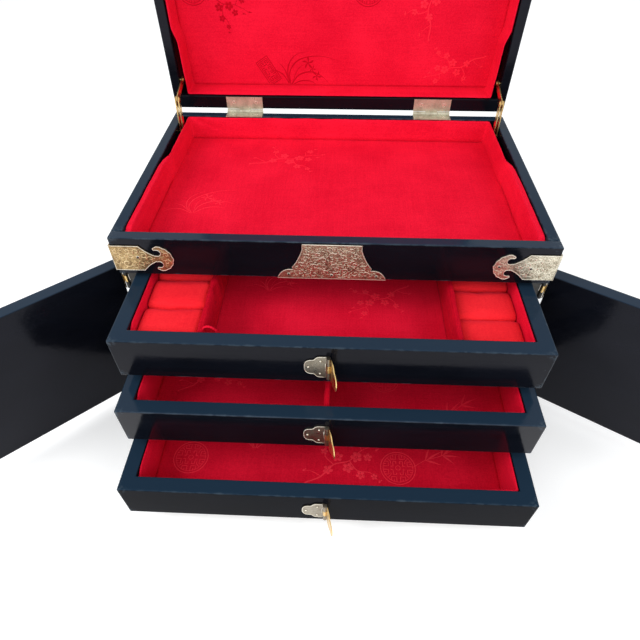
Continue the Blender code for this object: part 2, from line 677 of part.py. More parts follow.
def make_stays(lid):
    """On each side a pair of lower links, an upper link between them, and the pins."""
    outer_low = SIDE_INNER - STAY_WALL_GAP - STAY_SHEET
    upper_low = outer_low - STAY_PLAY - STAY_SHEET
    inner_low = upper_low - STAY_PLAY - STAY_SHEET
    wall = SIDE_INNER - GLUE_GAP
    for side, sign in SIDES:
        lower = carrier(side + "_stay_lower_axis", (0.0, LID_AXIS_Y + STAY_LOWER_Y, LID_AXIS_Z + STAY_LOWER_Z),
                        turn_x=-LID_OPEN_ANGLE)
        upper = carrier(side + "_stay_upper_axis", (0.0, STAY_UPPER_Y, STAY_UPPER_Z), turn_x=LID_OPEN_ANGLE,
                        parent=lower)
        straps = bmesh.new()
        outline = link_outline(STAY_UPPER_Y, STAY_UPPER_Z)
        for layer in (outer_low, inner_low):
            add_prism(straps, outline, "x", sign * layer, sign * (layer + STAY_SHEET))
        pair = place_mesh(side + "_stay_lower_link", straps, "plain_brass", lower)
        combine(pair, eye(side + "_lower_eye", (0.0, 0.0), STAY_EYE, lower), "DIFFERENCE")
        seat = inner_low + STAY_SHEET / 2
        rivet = (
            (STAY_PIN, sign * (outer_low + STAY_SHEET / 2)), (STAY_PIN, sign * seat), (STAY_HEAD, sign * seat),
            (STAY_HEAD, sign * (inner_low - STAY_HEAD_HEIGHT)))
        combine(pair, turned(side + "_stay_rivet", "x", (STAY_UPPER_Y, STAY_UPPER_Z), rivet, lower), "UNION")
        single = prism(side + "_stay_upper_link", link_outline(-STAY_LOWER_Y, -STAY_LOWER_Z), "x",
                       sign * upper_low, sign * (upper_low + STAY_SHEET), "plain_brass", upper)
        combine(single, eye(side + "_rivet_eye", (0.0, 0.0), STAY_EYE, upper), "DIFFERENCE")
        combine(single, eye(side + "_open_eye", (-STAY_LOWER_Y, -STAY_LOWER_Z), STAY_OPEN_EYE, upper), "DIFFERENCE")
        for level, centre, layer, parent in (
                ("lower", (LID_AXIS_Y + STAY_LOWER_Y, LID_AXIS_Z + STAY_LOWER_Z), inner_low, None),
                ("upper", (STAY_UPPER_Y, STAY_UPPER_Z), upper_low, lid)):
            head = layer - STAY_HEAD_GAP
            turned(f"{side}_stay_{level}_pin", "x", centre, (
                (STAY_PIN, sign * wall), (STAY_PIN, sign * head), (STAY_HEAD, sign * head),
                (STAY_HEAD, sign * (head - STAY_HEAD_HEIGHT))), parent)


# Doors
def make_doors():
    """Two doors in their shut places about their hinge lines, carried open."""
    for side, sign in SIDES:
        swing = carrier(side + "_door_axis", (sign * DOOR_AXIS_X, DOOR_AXIS_Y, 0.0),
                        turn_z=DOOR_OPEN_ANGLES[side])
        edge = DOOR_HINGE_STANDOFF + DOOR_EDGE_GAP
        near, far = sorted((-sign * edge, -sign * (DOOR_AXIS_X - DOOR_MEETING_GAP / 2)))
        face = -HALF_DEPTH - DOOR_AXIS_Y
        box(side + "_door", (near, face, DOOR_LOW), (far, face + DOOR_THICKNESS, DOOR_HIGH), "lacquer", swing)
        for place, level in DOOR_HINGE_LEVELS:
            make_door_hinge(f"{side}_door_{place}_hinge", sign, level, swing, edge - GLUE_GAP,
                            face + DOOR_THICKNESS - DOOR_LEAF_INSET)


def make_door_hinge(name, sign, level, swing, leaf_place, leaf_back):
    """A leaf let into the side's front edge, and a leaf on the door's edge that wraps the pin."""
    length = DOOR_HINGE_HEIGHT
    reach = (DOOR_HINGE_BARREL + DOOR_HINGE_BORE) / 2
    clear = DOOR_HINGE_BARREL + SEAT_GAP
    far = DOOR_HINGE_STANDOFF + DOOR_SIDE_LEAF
    outline = [(0.0, far)] + leaf_edge(length, True, reach, clear) + [(length, far)]
    leaf = prism(name + "_side_leaf", [(sign * (DOOR_AXIS_X - across), level + along) for along, across in outline],
                 "y", SIDE_FRONT, SIDE_FRONT + DOOR_HINGE_SHEET, "plain_brass")
    join_barrels(leaf, "z", (sign * DOOR_AXIS_X, DOOR_AXIS_Y), level, length, True, DOOR_HINGE_SIZES)
    near, far = sorted((-sign * leaf_place, -sign * (leaf_place - DOOR_HINGE_SHEET)))
    leaf = box(name + "_door_leaf", (near, leaf_back - DOOR_LEAF, level), (far, leaf_back, level + length),
               "plain_brass", swing, None)
    low, high = barrel_spans(length)[1]
    near, far = sorted((-sign * (leaf_place - DOOR_HINGE_SHEET / 2), -sign * reach * math.cos(math.pi / 8)))
    tongue = bmesh.new()
    add_box(tongue, (near, leaf_back - DOOR_LEAF_TONGUE, level + low), (far, leaf_back, level + high))
    combine(leaf, place_mesh(name + "_tongue", tongue, "plain_brass", swing), "UNION")
    join_barrels(leaf, "z", (0.0, 0.0), level, length, False, DOOR_HINGE_SIZES, swing)


# Drawers
def make_drawers():
    """Three drawers in their drawn-out places, each with a lining and a pull."""
    half = DRAWER_HALF_WIDTH
    inner = half - DRAWER_WALL
    back = DRAWER_LENGTH - DRAWER_BACK_WALL
    side = inner - GLUE_GAP
    front = DRAWER_WALL + GLUE_GAP
    end = back - GLUE_GAP
    wall = DRAWER_LINING_WALL
    board_top = DRAWER_BOTTOM_RISE + DRAWER_BOTTOM
    low = board_top + GLUE_GAP
    floor = low + DRAWER_LINING_FLOOR
    room = (side - wall, front + wall, end - wall, floor)
    for number, (base, pulled) in enumerate(zip(DRAWER_BASES, DRAWER_PULLED_OUT), start=1):
        slide = carrier(f"drawer_{number}_slide", (0.0, DRAWER_CLOSED_FRONT - pulled, base))
        frame = bmesh.new()
        add_hollow(frame, rectangle(-half, 0.0, half, DRAWER_LENGTH), rectangle(-inner, DRAWER_WALL, inner, back),
                   "z", 0.0, DRAWER_HEIGHT)
        round_edges(place_mesh(f"drawer_{number}_frame", frame, "lacquer", slide))
        box(f"drawer_{number}_bottom", (-side, front, DRAWER_BOTTOM_RISE), (side, end, board_top), "bare_board",
            slide, SMALL_ROUND)
        cover = bmesh.new()
        add_hollow(cover, rectangle(-side, front, side, end),
                   rectangle(-room[0], room[1], room[0], room[2]),
                   "z", low, DRAWER_HEIGHT - DRAWER_LINING_DROP, floor)
        round_edges(place_mesh(f"drawer_{number}_lining", cover, "red_damask", slide))
        if number == 1:
            make_ring_pads(slide, room)
        if number == 2:
            make_divider("drawer_2_divider", slide, room, MIDDLE_DIVIDER_PLACE, MIDDLE_DIVIDER,
                         MIDDLE_DIVIDER_DROP)
        make_pull(number, slide)


def make_divider(name, slide, room, place, thickness, drop):
    """A covered divider across a lining, from front to back."""
    side, front, back, floor = room
    box(name, (place - thickness / 2, front + GLUE_GAP, floor + GLUE_GAP),
        (place + thickness / 2, back - GLUE_GAP, DRAWER_HEIGHT - drop), "red_damask", slide)


def make_ring_pads(slide, room):
    """A divider and a bank of padded ring rolls at each end of the top drawer."""
    side, front, back, floor = room
    divider_face = side - RING_BAY
    for name, sign in SIDES:
        make_divider("drawer_1_divider_" + name, slide, room, sign * (divider_face - RING_DIVIDER / 2), RING_DIVIDER,
                     RING_DIVIDER_DROP)
        near = divider_face + SEAT_GAP
        far = side - SEAT_GAP
        make_rolls("ring_pads_" + name, slide, sign * (near + far) / 2, (far - near) / 2, front + SEAT_GAP,
                   back - SEAT_GAP, floor + SEAT_GAP, DRAWER_HEIGHT - RING_PAD_DROPS[name])


def roll_stations():
    """Places along the pad, as shares of its length, and the fullness of the rolls there."""
    stations = []
    share = (1 - FRONT_ROLL_SHARE) / (RING_PAD_ROLLS - 1)
    start, width = 0.0, FRONT_ROLL_SHARE
    for roll in range(RING_PAD_ROLLS):
        for step in range(ROLL_STEPS if roll < RING_PAD_ROLLS - 1 else ROLL_STEPS + 1):
            angle = math.pi * step / ROLL_STEPS
            place = start + width * (1 - math.cos(angle)) / 2
            stations.append((place, max(0.0, math.sin(angle)) ** ROLL_FULLNESS_SHARE))
        start, width = start + width, share
    return stations


def make_rolls(name, slide, middle, half, front, back, low, high):
    """Padded rolls side by side: crowned across, pinched at the channels, tucked in at the foot."""
    across = []
    for step in range(PAD_CROSS_STEPS + 1):
        angle = math.pi * step / PAD_CROSS_STEPS
        across.append((-math.cos(angle), max(0.0, math.sin(angle)) ** PAD_FULLNESS_SHARE))
    shoulder = high - RING_PAD_CROWN
    mesh_data = bmesh.new()
    grid = []
    for share, fullness in roll_stations():
        half_here = half - RING_PAD_TUCK / 2 - RING_PAD_PINCH * (1 - fullness)
        sink = RING_PAD_CHANNEL * (1 - fullness)
        grid.append([
            mesh_data.verts.new((
                middle + half_here * spread, front + share * (back - front),
                shoulder + RING_PAD_CROWN * height - sink))
            for spread, height in across])
    for first, second in zip(grid, grid[1:]):
        for index in range(PAD_CROSS_STEPS):
            mesh_data.faces.new((first[index], first[index + 1], second[index + 1], second[index]))
    rim = grid[0][:-1] + [row[-1] for row in grid[:-1]] + grid[-1][:0:-1] + [row[0] for row in grid[:0:-1]]
    above = rim
    middle_level = low + (shoulder - low) * PAD_BULGE_SHARE
    for level, outset in ((middle_level, RING_PAD_TUCK / 2), (low, -RING_PAD_TUCK / 2)):
        ring = []
        for vert in rim:
            across_here = vert.co.x - middle
            reach = math.copysign(outset, across_here) if abs(across_here) > half / 2 else 0.0
            ring.append(mesh_data.verts.new((vert.co.x + reach, vert.co.y, level)))
        add_strip(mesh_data, above, ring)
        above = ring
    mesh_data.faces.new(above)
    place_mesh(name, mesh_data, "red_damask", slide, smooth=True)


# Drawer pulls
def pull_outline(fixed):
    """A butterfly leaf: straight at its barrels, waisted and with a round tip."""
    height = PULL_HALF_HEIGHT
    shoulder, shoulder_bend, waist, lobe_bend, lobe, tip_bend = (
        scaled(shares, PULL_REACH, height) for shares in (
            PULL_SHOULDER_SHARES, PULL_SHOULDER_BEND_SHARES, PULL_WAIST_SHARES, PULL_LOBE_BEND_SHARES,
            PULL_LOBE_SHARES, PULL_TIP_BEND_SHARES))
    half = bend(shoulder, shoulder_bend, waist) + bend(waist, lobe_bend, lobe)
    half += bend(lobe, tip_bend, (PULL_REACH, 0.0), END_STEPS)
    edge = leaf_edge(2 * height, fixed, -PULL_LAP, PULL_BARREL + SEAT_GAP)
    return without_repeats([(across, along - height) for along, across in edge] + mirrored(half))


def make_pull(number, slide):
    """A hinge-like pull: one leaf on the drawer front, the other free to swing."""
    level = DRAWER_HEIGHT - PULL_DROP
    length = 2 * PULL_HALF_HEIGHT
    swing = carrier(f"pull_{number}_axis", (0.0, -PULL_STANDOFF, level), turn_z=-PULL_OPEN_ANGLE, parent=slide)
    sheet_high = PULL_STANDOFF - GLUE_GAP
    for kind, sign, fixed, parent, origin in (
            ("fixed", -1.0, True, slide, (-PULL_STANDOFF, level)), ("free", 1.0, False, swing, (0.0, 0.0))):
        leaf = prism(f"pull_{number}_{kind}_leaf",
                     [(sign * across, origin[1] + up) for across, up in pull_outline(fixed)], "y",
                     origin[0] + sheet_high - PULL_SHEET, origin[0] + sheet_high, "engraved_brass", parent)
        join_barrels(leaf, "z", (0.0, origin[0]), origin[1] - PULL_HALF_HEIGHT, length, fixed, PULL_SIZES, parent)


make_case()
lining("tray_lining", (LINING_WALL, SLOT_LINING_WALL, LINING_END_WALL), TRAY_SLOT_START,
       -BACK_INNER + LINING_END_GAP, BACK_INNER - LINING_END_GAP, 0.0, LINING_BASE, LINING_TOP,
       LINING_BASE + LINING_FLOOR)
make_plates()
lid_body = make_lid()
make_lid_hinges(lid_body)
make_stays(lid_body)
make_doors()
make_drawers()
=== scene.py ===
from math import ceil, cos, dist, exp, hypot, pi, radians, sin, sqrt, tan, tau

import bmesh
import bpy
import numpy as np
from mathutils import Matrix, Vector, noise


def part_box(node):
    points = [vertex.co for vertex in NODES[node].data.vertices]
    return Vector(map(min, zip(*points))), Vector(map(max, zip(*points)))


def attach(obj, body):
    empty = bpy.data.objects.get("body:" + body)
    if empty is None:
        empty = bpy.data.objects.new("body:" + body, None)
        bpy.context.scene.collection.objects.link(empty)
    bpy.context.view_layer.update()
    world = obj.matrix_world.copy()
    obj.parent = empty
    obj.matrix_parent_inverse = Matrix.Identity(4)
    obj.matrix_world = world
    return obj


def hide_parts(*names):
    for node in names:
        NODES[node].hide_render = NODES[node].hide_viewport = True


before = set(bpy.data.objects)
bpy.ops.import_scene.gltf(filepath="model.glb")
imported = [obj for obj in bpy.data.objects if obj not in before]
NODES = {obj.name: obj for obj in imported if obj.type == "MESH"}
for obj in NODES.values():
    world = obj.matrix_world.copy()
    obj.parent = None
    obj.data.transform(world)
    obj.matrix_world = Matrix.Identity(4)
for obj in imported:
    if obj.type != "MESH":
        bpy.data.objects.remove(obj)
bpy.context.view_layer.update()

MM = 0.001
RIM = 0.2052
FLOOR_STEP = 0.0035
LINE_STEP = 0.0016
# Base and front face of each drawer, then where its lining begins and ends behind that face
DRAWERS = {1: (0.1222, -0.1885), 2: (0.0707, -0.2172), 3: (0.0192, -0.2576)}
DRAWER_LINING = (0.0155, 0.1875)


# Camera at the photograph's angle: turns in radians, taken about Z, then X, then Y
CAMERA_LENS = 28.33
CAMERA_TURNS = (("Z", 0.03877), ("X", 0.76451), ("Y", 0.00631))
CAMERA_PLACE = (0.00532, -0.43294, RIM + 0.24363)


def new_object(name, data):
    obj = bpy.data.objects.new(name, data)
    bpy.context.scene.collection.objects.link(obj)
    return obj


def add_camera():
    data = bpy.data.cameras.new("camera")
    data.sensor_width = 36.0
    data.lens = CAMERA_LENS
    data.clip_start = 0.01
    turn = Matrix.Identity(4)
    for axis, angle in CAMERA_TURNS:
        turn = turn @ Matrix.Rotation(angle, 4, axis)
    camera = new_object("camera", data)
    camera.matrix_world = Matrix.Translation(CAMERA_PLACE) @ turn
    bpy.context.scene.camera = camera


# Node helpers; a socket or a node knows its own tree
def fill(socket, value):
    if isinstance(value, bpy.types.NodeSocket):
        socket.id_data.links.new(value, socket)
    else:
        socket.default_value = value


def add(tree, kind, inputs=None, **settings):
    node = tree.nodes.new("ShaderNode" + kind)
    for key, value in settings.items():
        setattr(node, key, value)
    for key, value in (inputs or {}).items():
        fill(node.inputs[key], value)
    return node


def opaque(colour):
    return (*colour, 1.0) if isinstance(colour, tuple) else colour


def put(shader, **values):
    for key, value in values.items():
        fill(shader.inputs[key.replace("_", " ")], opaque(value))


def start(name):
    material = bpy.data.materials.new(name)
    material.use_nodes = True
    return material, material.node_tree.nodes["Principled BSDF"]


def spot(shader, scale=None):
    at = add(shader.id_data, "TexCoord").outputs["Object"]
    return add(at.id_data, "Mapping", {0: at, 3: scale}).outputs[0] if scale else at


def grain(at, scale, detail=2.0, rough=0.5):
    return add(at.id_data, "TexNoise",
               {"Vector": at, "Scale": scale, "Detail": detail, "Roughness": rough}).outputs[0]


def span(value, low, high, to_low=0.0, to_high=1.0):
    return add(value.id_data, "MapRange",
               {0: value, 1: low, 2: high, 3: to_low, 4: to_high}).outputs[0]


def blend(share, a, b):
    return add(share.id_data, "Mix", {0: share, 6: opaque(a), 7: opaque(b)},
               data_type="RGBA").outputs[2]


def maths(kind, a, b):
    return add(a.id_data, "Math", {0: a, 1: b}, operation=kind).outputs[0]


def plus(a, b):
    return maths("ADD", a, b)


def times(a, b):
    return maths("MULTIPLY", a, b)


def larger(a, b):
    return maths("MAXIMUM", a, b)


def bump(shader, height, distance, strength):
    rise = {"Height": height, "Distance": distance, "Strength": strength}
    put(shader, Normal=add(shader.id_data, "Bump", rise).outputs[0])


# How far a place on one node is from the nearest edge of its box, and from the corners
def box_edge(at, node):
    low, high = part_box(node)
    middle = (low + high) / 2
    half = (high - low) / 2
    tree = at.id_data
    moved = add(tree, "VectorMath", {0: at, 1: middle}, operation="SUBTRACT").outputs[0]
    size = add(tree, "VectorMath", {0: moved}, operation="ABSOLUTE").outputs[0]
    depth = add(tree, "VectorMath", {0: half, 1: size}, operation="SUBTRACT").outputs[0]
    x, y, z = add(tree, "SeparateXYZ", {0: depth}).outputs
    total = plus(plus(x, y), z)
    return maths("SUBTRACT", total, larger(larger(x, y), z)), total


# Black lacquer, lighter along the outer edges of one board, partly wear and partly a painted highlight,
# and bluer where a face points up, a painted sky reflection
LACQUER = (0.0024, 0.0028, 0.0046)
# Colour for faces that point up: a painted sky reflection
LACQUER_PAINTED_SKY_REFLECTION = (0.0098, 0.0225, 0.0405)
# Colour of the edge band and the dust: partly wear and dust, partly a painted highlight along the edges
LACQUER_WEAR_DUST_AND_HIGHLIGHT = (0.046, 0.066, 0.086)


def lacquer(node, gloss):
    material, shader = start("lacquer_" + node)
    at = spot(shader)
    edge, total = box_edge(at, node)
    # The edge band: partly wear, partly a painted highlight along the board's edges
    edge_band_width = span(grain(at, 160, 4, 0.65), 0.35, 0.75, 0.0003, 0.0022)
    edge_wear_and_highlight = times(span(maths("DIVIDE", edge, edge_band_width), 0.0, 1.0, 1.0, 0.0),
                      span(grain(at, 45, 3), 0.38, 0.62, 0.15, 0.9))
    corner_wear = times(span(total, 0.001, 0.011, 0.9, 0.0), span(grain(at, 420, 3), 0.45, 0.6))
    wear_and_highlight = larger(edge_wear_and_highlight, corner_wear)
    specks = add(at.id_data, "TexVoronoi", {"Vector": at, "Scale": 95.0, "Randomness": 1.0})
    dust = times(span(specks.outputs["Distance"], 0.012, 0.05, 1.0, 0.0),
                 span(grain(at, 38, 2), 0.56, 0.66, 0.0, 0.5))
    cloudy = grain(spot(shader, (1.0, 1.0, 2.4)), 14, 4, 0.6)
    base = blend(span(cloudy, 0.3, 0.7), LACQUER, tuple(c * 1.6 for c in LACQUER))
    # Faces that point up get a bluer base colour, a painted sky reflection; the lid gets none
    if not node.startswith("lid"):
        normal = add(at.id_data, "TexCoord").outputs["Normal"]
        facing = add(at.id_data, "SeparateXYZ", {0: normal}).outputs[2]
        base = blend(span(facing, 0.2, 0.9), base, LACQUER_PAINTED_SKY_REFLECTION)
    base = blend(larger(wear_and_highlight, dust), base, LACQUER_WEAR_DUST_AND_HIGHLIGHT)
    scuffs = grain(spot(shader, (3.0, 60.0, 60.0)), 9, 5, 0.7)
    smears = plus(span(cloudy, 0.3, 0.75, 0.09, 0.17), span(scuffs, 0.5, 0.72, 0.0, 0.10))
    put(shader, Base_Color=base, Roughness=plus(smears, times(wear_and_highlight, 0.3)), Specular_IOR_Level=gloss,
        Specular_Tint=(0.85, 0.85, 1.0))
    bump(shader, plus(grain(at, 230, 2), times(wear_and_highlight, -0.8)), 0.00006, 0.5)
    return material


# Red damask cloth: ground weave, or the satin of its figures
def damask(name, colour, deep, rough, sheen, thread, slub):
    material, shader = start(name)
    at = spot(shader)
    threads = {"Vector": at, "Scale": thread, "Distortion": 0.6, "Detail": 1.0, "Detail Scale": 2.0}
    waves = [add(at.id_data, "TexWave", threads, wave_type="BANDS", bands_direction=way,
                 wave_profile="SIN").outputs[1] for way in "XYZ"]
    weave = plus(plus(waves[0], waves[1]), waves[2])
    fuzz = grain(at, 1400, 3, 0.6)
    slubs = times(grain(spot(shader, (30.0, 900.0, 900.0)), 1.0, 3),
                  grain(spot(shader, (900.0, 30.0, 500.0)), 1.0, 3))
    cloudy = grain(at, 22, 3, 0.55)
    share = plus(span(slubs, 0.12, 0.38, 0.0, slub), span(cloudy, 0.3, 0.7, 0.0, 0.45))
    share = plus(share, span(weave, 0.6, 2.2, 0.18, 0.0))
    share = plus(share, span(grain(at, 760, 2, 0.7), 0.38, 0.66, 0.0, 0.42))
    put(shader, Base_Color=blend(share, colour, deep), Specular_IOR_Level=0.12,
        Roughness=span(fuzz, 0.3, 0.7, rough, rough + 0.12), Specular_Tint=(1.0, 0.3, 0.4),
        Sheen_Weight=sheen, Sheen_Roughness=0.35, Sheen_Tint=(1.0, 0.05, 0.12))
    bump(shader, plus(times(weave, 0.3), plus(fuzz, times(slubs, 1.6))), 0.00022, 0.75)
    return material


# Aged brass: pale plates, golden leaves or silvery leaves, the latter lighter along their box edges, a
# painted highlight
def brass(name, colour, dull, rough, engraved=False, node=None, metal=1.0):
    material, shader = start(name)
    at = spot(shader)
    tarnish = grain(at, 120, 5, 0.7)
    fine = grain(at, 900, 4, 0.7)
    share = plus(span(tarnish, 0.42, 0.72, 0.0, 0.8), span(fine, 0.5, 0.75, 0.0, 0.35))
    height = fine
    if engraved:
        swirl = add(at.id_data, "TexWave",
                    {"Vector": at, "Scale": 130.0, "Distortion": 22.0, "Detail": 3.0,
                     "Detail Scale": 2.2, "Detail Roughness": 0.6},
                    wave_type="RINGS", rings_direction="SPHERICAL", wave_profile="SIN").outputs[1]
        lines = span(swirl, 0.1, 0.42)
        share = plus(share, span(lines, 0.0, 1.0, 0.5, 0.0))
        height = plus(times(lines, 1.2), times(fine, 0.35))
    base = blend(maths("MINIMUM", share, 1.0), colour, dull)
    # Given a node, the leaf is lighter along its box edges: a painted highlight
    if node:
        edge = box_edge(at, node)[0]
        base = blend(span(edge, 0.0003, 0.0009, 0.85, 0.0), base, (0.92, 0.88, 0.72))
    put(shader, Base_Color=base, Roughness=span(tarnish, 0.3, 0.75, rough, rough + 0.22), Metallic=metal)
    bump(shader, height, 0.00016 if engraved else 0.00004, 0.9 if engraved else 0.5)
    return material


# Plain board with grain, also used dark for the ring round nail heads
def board(name, colour, dark):
    material, shader = start(name)
    long_grain = grain(spot(shader, (4.0, 90.0, 90.0)), 2.2, 6, 0.65)
    pores = grain(spot(shader, (40.0, 900.0, 900.0)), 1.0, 3, 0.6)
    share = plus(span(long_grain, 0.3, 0.7), span(pores, 0.5, 0.8, 0, 0.4))
    put(shader, Base_Color=blend(share, colour, dark), Roughness=span(pores, 0.3, 0.8, 0.55, 0.8))
    bump(shader, plus(long_grain, pores), 0.0001, 0.6)
    return material


def felt(name, colour, light):
    material, shader = start(name)
    fibres = grain(spot(shader), 1500, 5, 0.75)
    cloudy = grain(spot(shader), 60, 3)
    share = plus(span(fibres, 0.35, 0.7), span(cloudy, 0.4, 0.7, 0, 0.3))
    put(shader, Base_Color=blend(share, colour, light), Roughness=span(fibres, 0.3, 0.7, 0.85, 1.0),
        Sheen_Weight=0.3, Sheen_Roughness=0.5)
    bump(shader, fibres, 0.0005, 0.9)
    return material


RED = damask("red_damask", (0.86, 0.0120, 0.0420), (0.60, 0.0036, 0.0210), 0.72, 0.12, 420.0, 0.24)
FIGURE = damask("damask_figure", (0.90, 0.0240, 0.0520), (0.82, 0.0150, 0.0380),
                0.45, 0.35, 700.0, 0.1)
# A much darker copy of the figure cloth, laid on the lid: painted shade
FIGURE_PAINTED_SHADE = damask("damask_figure_painted_shade", (0.48, 0.0024, 0.0130), (0.40, 0.0014, 0.0090),
                     0.55, 0.10, 700.0, 0.1)
# A lighter copy of the figure cloth, laid in drawer 3: a painted sheen
FIGURE_PAINTED_SHEEN = damask("damask_figure_painted_sheen", (0.95, 0.0400, 0.0720), (0.88, 0.0260, 0.0520),
                      0.45, 0.40, 700.0, 0.1)
VELVET = damask("pad_velvet", (0.92, 0.0280, 0.0360), (0.76, 0.0120, 0.0220), 0.80, 0.40, 900.0, 0.20)
# A darker copy of the red cloth, wrapped round the dividers: painted shade
WRAPPED_PAINTED_SHADE = damask("divider_damask_painted_shade", (0.74, 0.0070, 0.0240), (0.40, 0.0020, 0.0120),
                 0.66, 0.12, 420.0, 0.60)
GOLDEN_PLATE = brass("plate_golden", (0.60, 0.42, 0.20), (0.17, 0.10, 0.05), 0.26, engraved=True)
PALE_PLATE = brass("plate_pale", (0.80, 0.75, 0.60), (0.24, 0.19, 0.12), 0.26, engraved=True)
# The lock plate's brass, tinted red: partly its own colour, partly a painted reflection of the red cloth
PLATE_PAINTED_RED_REFLECTION = brass("plate_painted_red_reflection", (0.76, 0.60, 0.43), (0.20, 0.12, 0.08), 0.26, engraved=True)
GOLDEN_RIB = brass("rib_golden", (0.95, 0.78, 0.48), (0.62, 0.44, 0.22), 0.24)
PALE_RIB = brass("rib_pale", (0.95, 0.90, 0.76), (0.62, 0.54, 0.40), 0.24)
RIM_METAL = brass("rim_bright", (0.96, 0.92, 0.80), (0.80, 0.72, 0.56), 0.22, metal=0.7)
GOLD = brass("leaf_gold", (0.88, 0.62, 0.26), (0.55, 0.36, 0.14), 0.20)
BRONZE = brass("leaf_bronze", (0.36, 0.32, 0.25), (0.16, 0.12, 0.08), 0.24)
SCREW = brass("screw_metal", (0.90, 0.85, 0.72), (0.60, 0.55, 0.44), 0.22, metal=0.8)
PAINTED = brass("painted_leaf", (0.040, 0.038, 0.034), (0.02, 0.018, 0.015), 0.40, metal=0.3)
NAIL_DARK = board("nail_dark", (0.035, 0.025, 0.016), (0.01, 0.008, 0.006))
RAW = board("raw_board", (0.34, 0.22, 0.12), (0.20, 0.12, 0.06))
FELT = felt("felt", (0.012, 0.016, 0.014), (0.05, 0.06, 0.055))


# Mesh pieces that ride on a body
def place_mesh(name, points, faces, body, materials, marks=None):
    mesh = bpy.data.meshes.new(name)
    mesh.from_pydata([tuple(p) for p in points], [], faces)
    for material in materials if isinstance(materials, list) else [materials]:
        mesh.materials.append(material)
    work = bmesh.new()
    work.from_mesh(mesh)
    for face, mark in zip(work.faces, marks or []):
        face.material_index = mark
    bmesh.ops.recalc_face_normals(work, faces=work.faces)
    work.to_mesh(mesh)
    work.free()
    mesh.polygons.foreach_set("use_smooth", [True] * len(mesh.polygons))
    obj = new_object(name, mesh)
    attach(obj, body)
    return obj


# Faces between closed rings of points, and round from the last ring to the first where they meet
def ring_faces(rings, wide, closed=False):
    return [(i * wide + j, (i + 1) % rings * wide + j, (i + 1) % rings * wide + (j + 1) % wide,
             i * wide + (j + 1) % wide)
            for i in range(rings if closed else rings - 1) for j in range(wide)]


def end_caps(count, wide):
    return [tuple(range(wide)), tuple(range(count - 1, count - 1 - wide, -1))]


# Faces of a grid of points, and the indices round its edge
def grid_faces(across, along):
    wide = across + 1
    return [(j * wide + i, j * wide + i + 1, (j + 1) * wide + i + 1, (j + 1) * wide + i)
            for j in range(along) for i in range(across)]


def grid_edge(across, along):
    wide = across + 1
    return ([*range(wide)] + [j * wide + across for j in range(1, along + 1)]
            + [along * wide + i for i in range(across - 1, -1, -1)]
            + [j * wide for j in range(along - 1, 0, -1)])


def wavy(x, y, z, seed):
    return noise.noise(Vector((x, y, z + 7.31 * seed)))


def flat_up(u, v, w):
    return (u, v, w)


def lid_front(u, v, w):
    return (u, -w, v)


# Points and outward normals along a closed outline with rounded corners
def rounded_loop(corners, radius, step):
    corners = [Vector(c) for c in corners]
    count = len(corners)
    found = []
    for i, corner in enumerate(corners):
        before = (corner - corners[i - 1]).normalized()
        after = (corners[(i + 1) % count] - corner).normalized()
        turn = before.angle_signed(after) * -1.0
        reach = radius * tan(abs(turn) / 2)
        begin = corner - before * reach
        side = Vector((-before.y, before.x)) * (1 if turn > 0 else -1)
        centre = begin + side * radius
        steps = max(1, ceil(abs(turn) / 0.35))
        for k in range(steps + 1):
            angle = turn * k / steps
            spin = Matrix.Rotation(angle, 2)
            point = centre + spin @ (begin - centre)
            way = spin @ before
            found.append((point, Vector((way.y, -way.x))))
        finish_at = corner + after * reach
        following = corners[(i + 1) % count]
        onward = (corners[(i + 2) % count] - following).normalized()
        next_turn = after.angle_signed(onward) * -1.0
        stop = following - after * (radius * tan(abs(next_turn) / 2))
        length = (stop - finish_at).length
        pieces = max(1, round(length / step))
        for k in range(1, pieces):
            found.append((finish_at.lerp(stop, k / pieces), Vector((after.y, -after.x))))
    return found


# Cross-section of a cloth-covered wall: how far out, how high, and how freely the cloth may move
def wall_section(base, floor, height, thick):
    rows, across = 9, 9
    lean = min(0.45 * thick, 0.0013)
    fold = min((thick - lean) / 2, 0.0008)
    rise = height - fold - floor - 0.001
    quarter = [pi / 2 * k / 3 for k in range(4)]
    return ([(0.0010, floor - 0.0006, 0.0), (0.0002, floor + 0.0004, 0.1)]
            + [(lean * share ** 2, floor + 0.001 + rise * share, share)
               for share in (k / rows for k in range(1, rows + 1))]
            + [(lean + fold - fold * cos(a), height - fold + fold * sin(a), 1.0) for a in quarter[1:]]
            + [(lean + fold + (thick - lean - 2 * fold) * k / across, height, 1.0)
               for k in range(1, across)]
            + [(thick - fold + fold * sin(a), height - fold + fold * cos(a), 1.0) for a in quarter]
            + [(thick, (height + base) / 2, 0.5), (thick, base, 0.0), (0.0010, base, 0.0)])


# Distance of a point from the line between two others
def to_line(p, a, b):
    share = max(0.0, min(1.0, (p - a).dot(b - a) / (b - a).length_squared))
    return (p - a.lerp(b, share)).length


